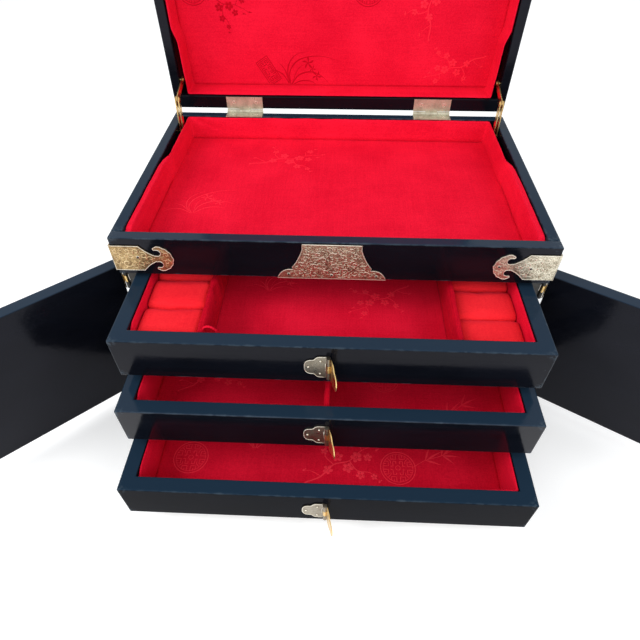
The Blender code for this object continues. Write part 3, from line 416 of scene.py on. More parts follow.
# A cloth-covered wall all round a lining: it leans out a little, puckers, and rolls over at the top
def lining_walls(node, body, inner, outer, levels, wave, seed, to_world, creases=(), droop=(), ribs=0.0):
    base, floor, top = levels
    loop = rounded_loop(inner, 0.0014, 0.0026)
    points = []
    for point, out in loop:
        x, y = point
        thick = max((ray_to(outer, point, out) - point).length, 0.0008)
        sunk = sum(depth * exp(-((x - u) / wide_u) ** 2 - ((y - v) / wide_v) ** 2)
                   for u, v, wide_u, wide_v, depth in droop)
        for offset, level, share in wall_section(base, floor, top - sunk, thick):
            inward = 1.0 - min(offset / thick, 1.0)
            push = wave * share * (wavy(x * 28, y * 28, level * 40, seed)
                                   + 0.45 * wavy(x * 110, y * 110, level * 60, seed + 3))
            push += 0.22 * wave * wavy(x * 420, y * 420, level * 150, seed + 5) * share
            for a, b, depth, width in creases:
                push += depth * exp(-(to_line(Vector((x, y, level)), Vector(a), Vector(b)) / width) ** 2)
            spread = out * max(0.0, min(offset + push * inward, thick + 0.0002)) if share else out * offset
            drop = 0.0
            if share == 1.0:
                drop = wave * (0.5 + 0.8 * wavy(x * 45, y * 45, 0.0, seed + 9)
                               + 0.4 * wavy(x * 190, y * 190, 0.0, seed + 11))
                drop += ribs * (1 + sin(offset * 5200 + 1.5 * wavy(x * 60, y * 60, 0.0, seed)))
            points.append(to_world(x + spread.x, y + spread.y, level - max(drop, 0.0)))
    faces = ring_faces(len(loop), len(points) // len(loop), closed=True)
    obj = place_mesh(node + "_walls", points, faces, body, RED)
    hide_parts(node)


# Each side of a closed outline, as its two end points
def sides(loop):
    return zip(loop, loop[1:] + loop[:1])


# Where a line from inside a closed outline first crosses it
def ray_to(outline, begin, way):
    nearest = None
    for a, b in sides(outline):
        a, b = Vector(a), Vector(b)
        side = b - a
        cross = way.x * side.y - way.y * side.x
        if abs(cross) < 1e-12:
            continue
        reach = ((a.x - begin.x) * side.y - (a.y - begin.y) * side.x) / cross
        share = ((a.x - begin.x) * way.y - (a.y - begin.y) * way.x) / cross
        if reach > 0 and -0.001 <= share <= 1.001 and (nearest is None or reach < nearest):
            nearest = reach
    return begin + way * (nearest or 0.001)


# A plan symmetric in x from its right-hand side, front to back
def both_sides(right):
    return right + [(-x, y) for x, y in reversed(right)]


# Gentle hills and dips of a cloth-covered floor
def floor_height(u, v, seed):
    return 0.00028 * wavy(u * 24, v * 24, 0.0, seed) + 0.00008 * wavy(u * 95, v * 95, 0.5, seed)


def lining_floor(node, body, low, high, level, thick, seed, to_world):
    across = max(8, round((high[0] - low[0]) / FLOOR_STEP))
    along = max(8, round((high[1] - low[1]) / FLOOR_STEP))
    places = [(low[0] + (high[0] - low[0]) * i / across, low[1] + (high[1] - low[1]) * j / along)
              for j in range(along + 1) for i in range(across + 1)]
    points = [to_world(u, v, level + floor_height(u, v, seed)) for u, v in places]
    edge = grid_edge(across, along)
    first, count = len(points), len(edge)
    points += [to_world(*places[k], level - thick) for k in edge]
    faces = grid_faces(across, along)
    faces += [(edge[k], first + k, first + (k + 1) % count, edge[(k + 1) % count])
              for k in range(count)]
    faces.append(tuple(range(first, first + count)))
    obj = place_mesh(node + "_floor", points, faces, body, RED)
    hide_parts(node)


# Cross-section of a ridge, in shares of its half width and of its lift
RIDGE = ((1, -1), (0.6, 0.75), (0, 1), (-0.6, 0.75), (-1, -1))


# Low relief: narrow ridges and domed patches laid on a surface
class Relief:
    def __init__(self, to_world, level, height, lift):
        self.to_world, self.level, self.height, self.lift = to_world, level, height, lift
        self.points, self.faces = [], []

    def add(self, p, rise):
        self.points.append(self.to_world(p[0], p[1], self.level + self.height(p[0], p[1]) + rise))
        return len(self.points) - 1

    def ridge(self, line, widths):
        rings = []
        for k, p in enumerate(line):
            a, b = line[max(k - 1, 0)], line[min(k + 1, len(line) - 1)]
            way = Vector((b[0] - a[0], b[1] - a[1]))
            way = way.normalized() if way.length else Vector((1, 0))
            side = Vector((-way.y, way.x)) * widths[k] / 2
            rings.append([self.add(Vector(p) + side * wide, self.lift * rise) for wide, rise in RIDGE])
        for a, b in zip(rings, rings[1:]):
            self.faces += [(a[j], b[j], b[(j + 1) % 5], a[(j + 1) % 5]) for j in range(5)]
        self.faces += [tuple(rings[0]), tuple(reversed(rings[-1]))]

    def patch(self, shape):
        n = len(shape)
        middle = Vector((sum(p[0] for p in shape) / n, sum(p[1] for p in shape) / n))
        low = [self.add(p, -self.lift) for p in shape]
        high = [self.add(middle.lerp(Vector(p), 0.84), self.lift * 0.8) for p in shape]
        top, under = self.add(middle, self.lift), self.add(middle, -self.lift)
        for k in range(n):
            m = (k + 1) % n
            self.faces += [(low[k], low[m], high[m], high[k]), (high[k], high[m], top),
                           (low[m], low[k], under)]


def smooth_line(points, pieces):
    points = [Vector(p) for p in points]
    ends = [2 * points[0] - points[1], *points, 2 * points[-1] - points[-2]]
    line = []
    for a, b, c, d in zip(ends, ends[1:], ends[2:], ends[3:]):
        for k in range(pieces):
            t = k / pieces
            line.append(0.5 * ((2 * b) + (c - a) * t + (2 * a - 5 * b + 4 * c - d) * t ** 2
                               + (3 * b - a - 3 * c + d) * t ** 3))
    return line + [points[-1]]


# Widths along a line that swell from the first share to the most, then narrow to the last
def taper(count, most, first, last, peak):
    return [most * (first + (1 - first) * t / peak if t < peak
                    else last + (1 - last) * (1 - (t - peak) / (1 - peak)))
            for t in (k / (count - 1) for k in range(count))]


def stroke(points, pieces, most, *swelling):
    line = smooth_line(points, pieces)
    return ("ridge", line, taper(len(line), most, *swelling))


def polar(x, y, r, a):
    return (x + r * cos(a), y + r * sin(a))


def oval(x, y, long, short, turn=0.0, count=12):
    c, s = cos(turn), sin(turn)
    return [(x + c * long * cos(a) - s * short * sin(a),
             y + s * long * cos(a) + c * short * sin(a))
            for a in (tau * k / count for k in range(count))]


# Traditional figures of the cloth, in millimetres about their own middle
def blossom(x, y, r, turn):
    shapes = []
    for k in range(5):
        a = turn + tau * k / 5
        shapes.append(("patch", oval(*polar(x, y, 0.60 * r, a), 0.40 * r, 0.36 * r, a)))
        shapes.append(("ridge", [polar(x, y, 0.16 * r, a + 0.63), polar(x, y, 0.52 * r, a + 0.63)],
                       [0.10 * r, 0.07 * r]))
    shapes.append(("patch", oval(x, y, 0.14 * r, 0.14 * r, 0.0, 8)))
    return shapes


def plum():
    shapes = [stroke(line, 4, most, 0.9, 0.25, 0.3) for line, most in (
        ([(-30, -13), (-17, -9), (-6, 0), (7, 2), (18, 10), (33, 14)], 1.7),
        ([(-6, 0), (-12, 8), (-10, 15), (-17, 20)], 1.0),
        ([(7, 2), (12, -7), (22, -10), (27, -17)], 1.0),
        ([(18, 10), (17, 17), (24, 23)], 0.8),
        ([(-17, -9), (-24, -4), (-29, -3)], 0.7))]
    for x, y, r, turn in ((-2, 6.5, 4.6, 0.2), (5, -3.8, 4.8, 1.0), (13, 4.6, 5.0, 0.5),
                          (-11, -4, 4.2, 0.9), (22, 3.5, 3.8, 0.1), (14, -11, 3.8, 0.7),
                          (24.5, -13.5, 2.8, 0.3), (-12, 12.5, 3.2, 1.2), (21, 18.5, 3.4, 0.0)):
        shapes += blossom(x, y, r, turn)
    for x, y in ((-17, 21), (-30, -2.5), (28, -18), (25, 24), (34, 14.5), (-31, -14), (30, 9)):
        shapes.append(("patch", oval(x, y, 1.3, 1.0, 0.5, 8)))
        shapes.append(("patch", oval(x + 1.6, y + 0.9, 0.8, 0.6, 0.5, 8)))
    return shapes


def ring(r, width, count=44):
    return ("ridge", [polar(0, 0, r, tau * k / count) for k in range(count + 1)], [width] * (count + 1))


def closed_line(corners, width):
    return ("ridge", [*corners, corners[0]], [width] * (len(corners) + 1))


# Lines drawn once and mirrored into all four quarters
def quartered(lines, width):
    return [("ridge", [(sx * x, sy * y) for x, y in line], [width] * len(line))
            for sx in (1, -1) for sy in (1, -1) for line in lines]


def medallion():
    return [ring(15.0, 1.0), ring(12.9, 0.6), ring(2.0, 0.7, 20)] + quartered(
        [[(1.6, 12.6), (1.6, 8.2), (6.0, 8.2), (6.0, 11.3)], [(3.8, 12.2), (3.8, 10.2)],
         [(12.6, 1.6), (8.2, 1.6), (8.2, 6.0), (11.3, 6.0)], [(12.2, 3.8), (10.2, 3.8)],
         [(4.2, 1.6), (4.2, 6.2), (1.6, 6.2), (1.6, 4.0)], [(6.2, 4.0), (6.2, 6.2), (8.6, 8.6)],
         [(4.2, 1.6), (6.4, 1.6)]], 0.75)


def diamond():
    return [closed_line([(side, 0), (0, side), (-side, 0), (0, -side)], 0.8)
            for side in (14.5, 11.4, 5.0)] + quartered(
        [[(8.4, 0), (4.3, 4.1)], [(0, 8.4), (4.3, 4.1)], [(8.4, 0), (11.0, 0)], [(0, 8.4), (0, 11.0)],
         [(6.0, 5.6), (4.3, 4.1)], [(2.6, 2.2), (0, 0)], [(5.2, 1.0), (7.0, 2.6)],
         [(1.0, 5.2), (2.6, 7.0)]], 0.7)


def oblong():
    return [closed_line([(-x, -y), (x, -y), (x, y), (-x, y)], width)
            for x, y, width in ((15, 7.6, 1.2), (13.2, 5.8, 0.9))] + quartered(
        [[(0, 4.2), (3.4, 4.2), (3.4, 1.4), (1.4, 1.4)], [(5.4, 5.8), (5.4, 2.4)],
         [(7.6, 4.2), (11.4, 4.2), (11.4, 1.2), (9.4, 1.2)], [(7.4, 0), (7.4, 2.6)],
         [(9.4, 2.8), (9.4, 1.2)]], 1.3)


def orchid():
    shapes = [stroke(line, 6, most, 0.5, 0.05, 0.4) for line, most in (
        ([(-12, -14), (-14, -2), (-8, 9), (4, 15), (18, 17), (33, 15)], 1.6),
        ([(-12, -14), (-16, -3), (-15, 7), (-9, 15), (2, 20)], 1.5),
        ([(-11, -14), (-5, -4), (6, 1), (17, -1), (26, -7)], 1.7),
        ([(-10, -14), (-2, -9), (8, -8), (17, -12)], 1.5),
        ([(-13, -14), (-20, -6), (-29, -3), (-38, -6)], 1.4),
        ([(-13, -14), (-19, -1), (-27, 6)], 1.2),
        ([(-11, -14), (-6, 2), (3, 9)], 0.8))]
    for x, y, r, turn in ((3, 9, 6.0, 0.4), (13, -2, 5.0, 1.1), (8, 4, 3.5, 0.0)):
        for k in range(5):
            a = turn + tau * k / 5
            petal = [(x, y), polar(x, y, 0.6 * r, a), polar(x, y, r, a + 0.25)]
            shapes.append(stroke(petal, 4, 0.42 * r, 0.2, 0.05, 0.55))
    return shapes


def bamboo():
    shapes = [("ridge", smooth_line([(-26, -6), (-12, -1), (4, 1), (20, 6)], 5), [0.7] * 16)]
    for x, y, a, r in ((-12, -1, 1.0, 15), (-11, -1, 0.35, 18), (-12, -1, -0.5, 15), (4, 1, 1.1, 14),
                       (5, 1, 0.5, 19), (4, 1, -0.25, 17), (5, 1, -0.9, 13), (20, 6, 0.8, 14),
                       (20, 6, 0.15, 17), (20, 6, -0.5, 13)):
        middle = (x + 0.5 * r * cos(a), y + 0.5 * r * sin(a) + 0.5)
        shapes.append(stroke([(x, y), middle, polar(x, y, r, a)], 5, 2.6, 0.15, 0.03, 0.35))
    return shapes


FIGURES = {draw.__name__: draw() for draw in (plum, oblong, medallion, diamond, orchid, bamboo)}


# Runs of a line that stay within its room, each a list of points with their widths
def kept_runs(line, widths, fits, scale):
    run = []
    for (a, wide_a), (b, wide_b) in zip(zip(line, widths), zip(line[1:], widths[1:])):
        pieces = max(1, ceil(dist(a, b) / LINE_STEP))
        for k in range(pieces + 1):
            t = k / pieces
            p = (a[0] + (b[0] - a[0]) * t, a[1] + (b[1] - a[1]) * t)
            if not fits(p):
                yield run
                run = []
            elif not run or dist(run[-1][0], p) > 1e-6:
                run.append((p, (wide_a + (wide_b - wide_a) * t) * scale * MM))
    yield run


# Figures laid on a cloth floor, cut off where they would leave its room
def figures(name, body, to_world, level, seed, room, placed, material):
    relief = Relief(to_world, level, lambda u, v: floor_height(u, v, seed), 0.00011)
    (u0, v0), (u1, v1) = room

    def fits(p):
        return u0 < p[0] < u1 and v0 < p[1] < v1

    for kind, u, v, degrees, scale in placed:
        c, s = cos(radians(degrees)), sin(radians(degrees))

        def laid(p):
            x, y = p[0] * scale * MM, p[1] * scale * MM
            return (u * MM + c * x - s * y, v * MM + s * x + c * y)

        for shape in FIGURES[kind]:
            line = [laid(p) for p in shape[1]]
            if shape[0] == "ridge":
                for run in kept_runs(line, shape[2], fits, scale):
                    if len(run) > 1:
                        relief.ridge(*zip(*run))
            elif all(fits(p) for p in line):
                relief.patch(line)
    place_mesh(name, relief.points, relief.faces, body, material)


# Lining levels from underside to cloth floor and top; the drawers' are above the drawer's own base
TRAY_LEVELS = (0.1794, 0.1812, 0.2046)
LID_LEVELS = (-0.1455, -0.1436, -0.1200)
DRAWER_LEVELS = (0.0038, 0.0053, 0.0402)
DROOP_DEPTH = 0.0024


# Dips of a front wall's top between the places where its cloth is held
def front_droop(places, y):
    return [(u, y, 0.030, 0.004, DROOP_DEPTH) for u in places]


# The tray lining, drawn in at the back beside the lid stays
def dress_tray():
    inner = both_sides([(0.1633, -0.1029), (0.1633, 0.008), (0.1628, 0.014), (0.1620, 0.020),
                        (0.1617, 0.026), (0.1617, 0.1029)])
    outer = both_sides([(0.1700, -0.1056), (0.1698, -0.02), (0.1690, 0.004), (0.1680, 0.012),
                        (0.1655, 0.019), (0.1642, 0.025), (0.1642, 0.1054)])
    creases = [((-0.160, 0.103, 0.2035), (-0.128, 0.104, 0.1900), 0.0013, 0.0016),
               ((-0.150, 0.103, 0.2040), (-0.122, 0.104, 0.1990), -0.0009, 0.0014),
               ((-0.1633, 0.010, 0.204), (-0.1620, 0.030, 0.188), -0.0008, 0.0022),
               ((0.1633, 0.006, 0.204), (0.1620, 0.028, 0.190), -0.0008, 0.0022),
               ((0.1633, -0.028, 0.204), (0.1633, -0.040, 0.184), 0.0005, 0.0016),
               ((-0.1633, -0.045, 0.204), (-0.1633, -0.022, 0.186), 0.0005, 0.0016)]
    droop = front_droop((-0.150, -0.105, -0.06, -0.015, 0.03, 0.075, 0.12, 0.155), -0.104)
    lining_walls("tray_lining", "carcass", inner, outer, TRAY_LEVELS, 0.0005, 1, flat_up, creases, droop,
                 0.00022)
    lining_floor("tray_lining", "carcass", (-0.1650, -0.1042), (0.1650, 0.1042), TRAY_LEVELS[1], 0.0017, 2,
                 flat_up)
    figures("tray_figures", "carcass", flat_up, TRAY_LEVELS[1], 2, ((-0.159, -0.099), (0.159, 0.099)),
            [("orchid", -123, -27, 14, 1.05), ("plum", -54, 58, -8, 1.1)], FIGURE)


def dress_lid():
    inner = both_sides([(0.1617, 0.2251), (0.1620, 0.2360), (0.1626, 0.2480), (0.1629, 0.2640),
                        (0.1634, 0.2740), (0.1648, 0.2800), (0.1663, 0.2870), (0.1663, 0.4269)])
    outer = both_sides([(0.1642, 0.2226), (0.1644, 0.2350), (0.1648, 0.2480), (0.1650, 0.2640),
                        (0.1652, 0.2755), (0.1672, 0.2810), (0.1692, 0.2870), (0.1694, 0.4294)])
    creases = [((-0.1650, 0.312, -0.121), (-0.1625, 0.268, -0.136), -0.0007, 0.0030),
               ((0.1650, 0.306, -0.121), (0.1625, 0.264, -0.136), -0.0006, 0.0030)]
    lining_walls("lid_lining", "lid", inner, outer, LID_LEVELS, 0.0005, 21, lid_front, creases)
    lining_floor("lid_lining", "lid", (-0.1678, 0.2238), (0.1678, 0.4282), LID_LEVELS[1], 0.0019, 22,
                 lid_front)
    room = ((-0.162, 0.2258), (0.162, 0.4250))
    # The lid's main figures take the darker copy, painted shade
    figures("lid_figures", "lid", lid_front, LID_LEVELS[1], 22, room,
            [("medallion", -148, 317, 0, 1.0), ("plum", -124, 306, -40, 0.9),
             ("medallion", 28, 317, 0, 1.0), ("oblong", -76.6, 239.6, -57.5, 0.92),
             ("orchid", -38, 239, -8, 1.1), ("plum", 40, 372, 10, 1.2),
             ("bamboo", -110, 372, -12, 1.1), ("diamond", 112, 385, 0, 1.0),
             ("orchid", -52, 396, 8, 1.0)], FIGURE_PAINTED_SHADE)
    figures("lid_figures_faint", "lid", lid_front, LID_LEVELS[1], 22, room,
            [("plum", 90, 304, 70, 0.95), ("plum", 126, 246, 176, 0.9)], FIGURE)


def dress_drawers():
    placed = {1: [("orchid", -50, -77, 4, 0.8), ("plum", 46, -95, 190, 0.92),
                  ("medallion", -8, -44, 0, 0.9), ("orchid", 66, -40, 10, 0.8)],
              2: [("orchid", -60, -196, 5, 0.9), ("plum", -108, -150, 10, 1.0),
                  ("bamboo", 100, -188, 20, 1.0), ("medallion", 50, -150, 0, 0.9),
                  ("plum", 60, -90, 170, 1.0), ("medallion", -60, -92, 0, 0.9)],
              3: [("plum", 13, -208, 8, 1.15), ("medallion", 64.8, -210.1, 0, 1.05),
                  ("bamboo", 102, -198, 12, 1.0), ("medallion", -126, -207, 0, 1.05),
                  ("orchid", -58, -180, 6, 1.0), ("diamond", -10, -150, 0, 1.0),
                  ("plum", 96, -140, 160, 1.1), ("orchid", -112, -130, 0, 1.0)]}
    for k, (base, face) in DRAWERS.items():
        body, node = f"drawer_{k}", f"drawer_{k}_lining"
        near, far = (face + behind for behind in DRAWER_LINING)
        inner = both_sides([(0.1535, near), (0.1535, far)])
        outer = both_sides([(0.1563, near - 0.0028), (0.1563, far + 0.0028)])
        droop = front_droop([u * MM for u in range(-150, 151, 43)], near)
        levels = [base + level for level in DRAWER_LEVELS]
        lining_walls(node, body, inner, outer, levels, 0.00032, 30 + k, flat_up, (), droop)
        lining_floor(node, body, (-0.1550, near - 0.0014), (0.1550, far + 0.0014), levels[1], 0.0012,
                     40 + k, flat_up)
        half = 0.0975 if k == 1 else 0.151
        # Drawer 3's figures take the lighter copy, a painted sheen
        figures(f"drawer_{k}_figures", body, flat_up, levels[1], 40 + k,
                ((-half, near + 0.002), (half, far - 0.002)), placed[k],
                FIGURE_PAINTED_SHEEN if k == 3 else FIGURE)


# A board wrapped in cloth, standing in a drawer: rounded top, soft crinkles
def wrapped_board(node, body, seed, crinkle):
    low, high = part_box(node)
    middle, half = (low.x + high.x) / 2, (high.x - low.x) / 2 - 0.0002
    flank = [*[(1.0, k / 8 * 0.93) for k in range(9)], (0.8, 0.97), (0.4, 1.0)]
    section = [(-a, b) for a, b in flank] + [(0.0, 1.0)] + flank[::-1]
    steps = round((high.y - low.y) / 0.0022)
    points = []
    for i in range(steps + 1):
        y = low.y + (high.y - low.y) * i / steps
        for a, b in section:
            z = low.z + (high.z - low.z) * b
            fold = (wavy(y * 95, z * 30, a, seed) + 0.6 * wavy(y * 260, z * 90, a, seed + 2)
                    + 0.5 * abs(wavy(y * 60 + z * 120, z * 10, a, seed + 4))
                    + 0.5 * abs(wavy(y * 210 + z * 60, z * 40, a, seed + 8)))
            x = middle + half * a + crinkle * fold * (0.25 + 0.75 * min(b * 3, 1.0)) * (1 if a > 0 else -1)
            drop = 0.0005 * abs(wavy(y * 30, 0.0, 0.0, seed + 6)) * b ** 4
            points.append((min(max(x, low.x - 0.0002), high.x + 0.0009), y, z - drop))
    faces = ring_faces(steps + 1, len(section)) + end_caps(len(points), len(section))
    # The wrapping cloth is the darker copy, painted shade
    obj = place_mesh(node + "_wrapped", points, faces, body, WRAPPED_PAINTED_SHADE)
    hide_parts(node)


# A loose edge of cloth curling over the left divider's front end
def curled_edge(base):
    path = smooth_line([(-0.1004, base + 0.0340), (-0.0985, base + 0.0388), (-0.0947, base + 0.0402),
                        (-0.0911, base + 0.0384), (-0.0885, base + 0.0348)], 6)
    around = 8
    points = []
    for k, at in enumerate(path):
        way = (path[min(k + 1, len(path) - 1)] - path[max(k - 1, 0)]).normalized()
        side = Vector((-way.y, way.x))
        wide = 0.0007 + 0.0002 * sin(2.1 * k)
        for j in range(around):
            a = tau * j / around
            spread = at + side * wide * cos(a)
            points.append((spread.x, -0.1690 + 1.6 * wide * sin(a), spread.y))
    faces = ring_faces(len(path), around) + end_caps(len(points), around)
    place_mesh("drawer_1_curled_edge", points, faces, "drawer_1", RED)


# Ring pads: five soft rolls side by side, blown up by a short cloth simulation
def roll_points(centre, half, seed):
    work = bmesh.new()
    bmesh.ops.create_cube(work, size=2.0)
    bmesh.ops.subdivide_edges(work, edges=work.edges, cuts=13, use_grid_fill=True)
    for vertex in work.verts:
        x, y, z = vertex.co
        cross = (abs(y) ** 5 + abs(z) ** 5) ** (1 / 5)
        size = (abs(x) ** 18 + cross ** 18) ** (1 / 18)
        x, y, z = x / size, y / size, z / size
        if z < 0:
            y *= 1.0 - 0.04 * z
        tuck = 1.0 - 0.02 * abs(x) ** 6 * (1 if z > -0.6 else 0)
        wrinkle = 0.012 * wavy(x * 5.0, y * 2.0, z * 3.0, seed)
        vertex.co = Vector((centre.x + half.x * x, centre.y + half.y * y * tuck * 0.995,
                            centre.z + half.z * (z * tuck + wrinkle)))
    return work


def ring_pads(node, body, seed):
    low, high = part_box(node)
    shares = [0.185] + [0.20375] * 4
    whole = bmesh.new()
    near = low.y
    for k, share in enumerate(shares):
        depth = share * (high.y - low.y)
        centre = Vector(((low.x + high.x) / 2, near + depth / 2, (low.z + high.z) / 2))
        near += depth
        half = Vector(((high.x - low.x) / 2 - 0.0003, depth / 2 - 0.0003,
                       (high.z - low.z) / 2 - 0.0004))
        roll = roll_points(centre, half, seed + k)
        part = bpy.data.meshes.new("roll")
        roll.to_mesh(part)
        roll.free()
        whole.from_mesh(part)
        bpy.data.meshes.remove(part)
    mesh = bpy.data.meshes.new(node + "_rolls")
    whole.to_mesh(mesh)
    whole.free()
    mesh.materials.append(VELVET)
    mesh.polygons.foreach_set("use_smooth", [True] * len(mesh.polygons))
    obj = new_object(node + "_rolls", mesh)
    swell(obj, low, high)
    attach(obj, body)
    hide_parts(node)


# Cloth simulation with inner pressure; the underside stays put and no point leaves the pad's room
PAD_PRESSURE = 4.0
PAD_FRAMES = 16
PAD_MOST = 0.0016


def swell(obj, low, high):
    rest = np.array([v.co for v in obj.data.vertices])
    pinned = obj.vertex_groups.new(name="pinned")
    held = [v.index for v in obj.data.vertices if v.co.z < low.z + 0.004]
    pinned.add(held, 1.0, "REPLACE")
    cloth = obj.modifiers.new("cloth", "CLOTH")
    settings = cloth.settings
    settings.use_pressure = True
    settings.uniform_pressure_force = PAD_PRESSURE
    settings.vertex_group_mass = "pinned"
    settings.effector_weights.gravity = 0.0
    settings.quality = 6
    settings.mass = 0.15
    settings.shrink_min = -0.02
    cloth.point_cache.frame_end = 20
    scene = bpy.context.scene
    for moment in range(1, PAD_FRAMES + 1):
        scene.frame_set(moment)
    grown = obj.evaluated_get(bpy.context.evaluated_depsgraph_get()).data
    moved = np.array([v.co for v in grown.vertices])
    obj.modifiers.remove(cloth)
    scene.frame_set(1)
    step = moved - rest
    size = np.linalg.norm(step, axis=1, keepdims=True)
    step *= np.minimum(1.0, PAD_MOST / np.maximum(size, 1e-9))
    swollen = rest + step
    swollen = np.clip(swollen, np.array(low) + 0.0001, np.array(high) + (0.0, 0.0, 0.0006))
    obj.data.vertices.foreach_set("co", swollen.astype(np.float32).ravel())
    obj.data.update()
    obj.vertex_groups.clear()


# Front outline of a flat plate, read from its CAD node in the plane that faces -Y
def plate_outline(node, front=None):
    mesh = NODES[node].data
    front = min(v.co.y for v in mesh.vertices) if front is None else front
    spots, found = {}, {}
    for face in mesh.polygons:
        places = [mesh.vertices[i].co for i in face.vertices]
        if face.normal.y < -0.7 and all(abs(co.y - front) < 0.00003 for co in places):
            keys = [(round(co.x * 1e5), round(co.z * 1e5)) for co in places]
            spots.update((key, (co.x, co.z)) for key, co in zip(keys, places))
            found.update(dict.fromkeys(sides(keys)))
    edge = {a: b for a, b in found if (b, a) not in found}
    begin = next(iter(edge))
    loop, at = [], begin
    while at in edge and len(loop) <= len(edge):
        loop.append(spots[at])
        at = edge[at]
        if at == begin:
            break
    return loop, front


def inside(p, loop):
    found = False
    for (x0, y0), (x1, y1) in sides(loop):
        if (y0 > p[1]) != (y1 > p[1]) and p[0] < (x1 - x0) * (p[1] - y0) / (y1 - y0) + x0:
            found = not found
    return found


def away(p, loop):
    pairs = [(Vector(a), Vector(b)) for a, b in sides(loop)]
    return min([1.0] + [to_line(p, a, b) for a, b in pairs if (b - a).length_squared >= 1e-14])


def heading(a):
    return Vector((cos(a), sin(a)))


# A bright bead that follows the outline of a plate just inside its edge
BEAD_WIDTH = 0.0007
EDGE_CLEAR = 0.0011


def rim_bead(node, body, front=None):
    loop, front = plate_outline(node, front)
    relief = Relief(lid_front, -front, lambda u, v: 0.0, 0.00018)
    area = sum(a[0] * b[1] - b[0] * a[1] for a, b in sides(loop))
    sign = 1 if area > 0 else -1
    rim = []
    for k, p in enumerate(loop):
        before = (Vector(p) - Vector(loop[k - 1])).normalized()
        after = (Vector(loop[(k + 1) % len(loop)]) - Vector(p)).normalized()
        way = (before + after).normalized() if (before + after).length > 0.2 else after
        rim.append(Vector(p) + Vector((-way.y, way.x)) * sign * BEAD_WIDTH * 0.52)
    rim += rim[:1]
    relief.ridge(rim, [BEAD_WIDTH] * len(rim))
    place_mesh(node + "_rim", relief.points, relief.faces, body, RIM_METAL)
    return loop, front


# Engraved scrolls with small leaves over a plate
def engrave(node, body, seed, size, material, keep_off):
    loop, front = rim_bead(node, body)
    relief = Relief(lid_front, -front, lambda u, v: 0.0, 0.00022)
    rng = np.random.default_rng(seed)
    xs, zs = [p[0] for p in loop], [p[1] for p in loop]
    taken = [(Vector(p), r) for p, r in keep_off]
    for attempt in range(3200):
        p = Vector((rng.uniform(min(xs), max(xs)), rng.uniform(min(zs), max(zs))))
        r = size * rng.uniform(0.6, 1.0) * (1.0 if attempt < 1200 else 0.5)
        if not inside(p, loop) or away(p, loop) < r + EDGE_CLEAR:
            continue
        if any((p - q).length < (r + s) * 0.90 for q, s in taken):
            continue
        taken.append((p, r))
        turn, hand = rng.uniform(0, tau), 1 if rng.random() < 0.5 else -1
        turns = rng.uniform(0.9, 1.35)
        steps = 16
        line, widths = [], []
        for k in range(steps + 1):
            t = k / steps
            a = turn + hand * turns * tau * t
            line.append(p + heading(a) * r * (1.0 - 0.84 * t))
            widths.append(r * (0.16 + 0.14 * sin(pi * t)))
        relief.ridge(line, widths)
        for k in range(4):
            a = turn + hand * (0.4 + 1.4 * k)
            stem = p + heading(a) * r * (0.98 - 0.08 * k)
            tip = stem + heading(a + hand * 0.7) * r * 0.5
            if inside(tip, loop) and away(tip, loop) > EDGE_CLEAR:
                relief.ridge([stem, stem.lerp(tip, 0.5), tip], [r * 0.14, r * 0.26, r * 0.05])
    place_mesh(node + "_engraving", relief.points, relief.faces, body, material)


# Domed nails driven in from the front, each in a ring of a second material
def nails(name, body, places, radius, head, collar):
    points, faces, marks = [], [], []
    profile = [(1.45, -0.25, 1), (1.4, 0.05, 1), (1.02, 0.06, 1), (1.0, 0.30, 0), (0.86, 0.62, 0),
               (0.55, 0.86, 0), (0.22, 0.96, 0)]
    around, rows = 16, len(profile) - 1
    normal = Vector((0, -1, 0))
    first_way = normal.orthogonal().normalized()
    second_way = normal.cross(first_way)
    for centre in places:
        first = len(points)
        for reach, rise, _ in profile:
            for k in range(around):
                a = tau * k / around
                points.append(Vector(centre) + (first_way * cos(a) + second_way * sin(a))
                              * reach * radius + normal * rise * radius * 0.7)
        faces += [(first + a, first + d, first + c, first + b)
                  for a, b, c, d in ring_faces(len(profile), around)]
        marks += [profile[j + 1][2] if profile[j][2] else 0 for j in range(rows) for k in range(around)]
        faces.append(tuple(first + rows * around + k for k in range(around)))
        faces.append(tuple(first + k for k in reversed(range(around))))
        marks += [0, 1]
    place_mesh(name, points, faces, body, [head, collar], marks)


# Cross-slot screw heads
def screws(name, body, places, normal):
    points, faces = [], []
    n = 17
    rng = np.random.default_rng(len(places) * 31 + 5)
    normal = Vector(normal)
    for centre in places:
        spin = rng.uniform(0, pi)
        one = normal.orthogonal().normalized()
        two = normal.cross(one)
        first_way = one * cos(spin) + two * sin(spin)
        second_way = normal.cross(first_way)
        first = len(points)
        for j in range(n):
            for i in range(n):
                a, b = 2 * i / (n - 1) - 1, 2 * j / (n - 1) - 1
                x = a * sqrt(1 - b * b / 2)
                y = b * sqrt(1 - a * a / 2)
                reach = hypot(x, y)
                rise = 0.11 * (1 - reach ** 2) + (-0.5 if reach > 0.99 else 0.0)
                if (abs(a) < 0.14 or abs(b) < 0.14) and reach < 0.72:
                    rise -= 0.32
                points.append(Vector(centre) + (first_way * x + second_way * y) * SCREW_RADIUS
                              + normal * rise * SCREW_RADIUS)
        faces += [tuple(first + i for i in face) for face in grid_faces(n - 1, n - 1)]
        faces.append(tuple(first + i for i in reversed(grid_edge(n - 1, n - 1))))
    obj = place_mesh(name, points, faces, body, SCREW)
    for face in obj.data.polygons:
        face.use_smooth = False


# Soft lamps: place in metres, size in metres and power in watts
LAMPS = {"key": ((-1.3, -0.5, 1.2), 1.1, 19.0), "front": ((-0.4, -1.7, 0.9), 1.4, 15.0),
         "fill": ((1.3, -0.8, 1.1), 1.5, 15.0), "back": ((0.2, 1.5, 1.5), 1.4, 6.0)}
LAMPS_AIM = Vector((0, -0.05, 0.15))
FLOOR_RADIUS = 5.0
FLOOR_SIDES = 64
FLOOR_GLOW = 0.34
WORLD_LIGHT = 0.58


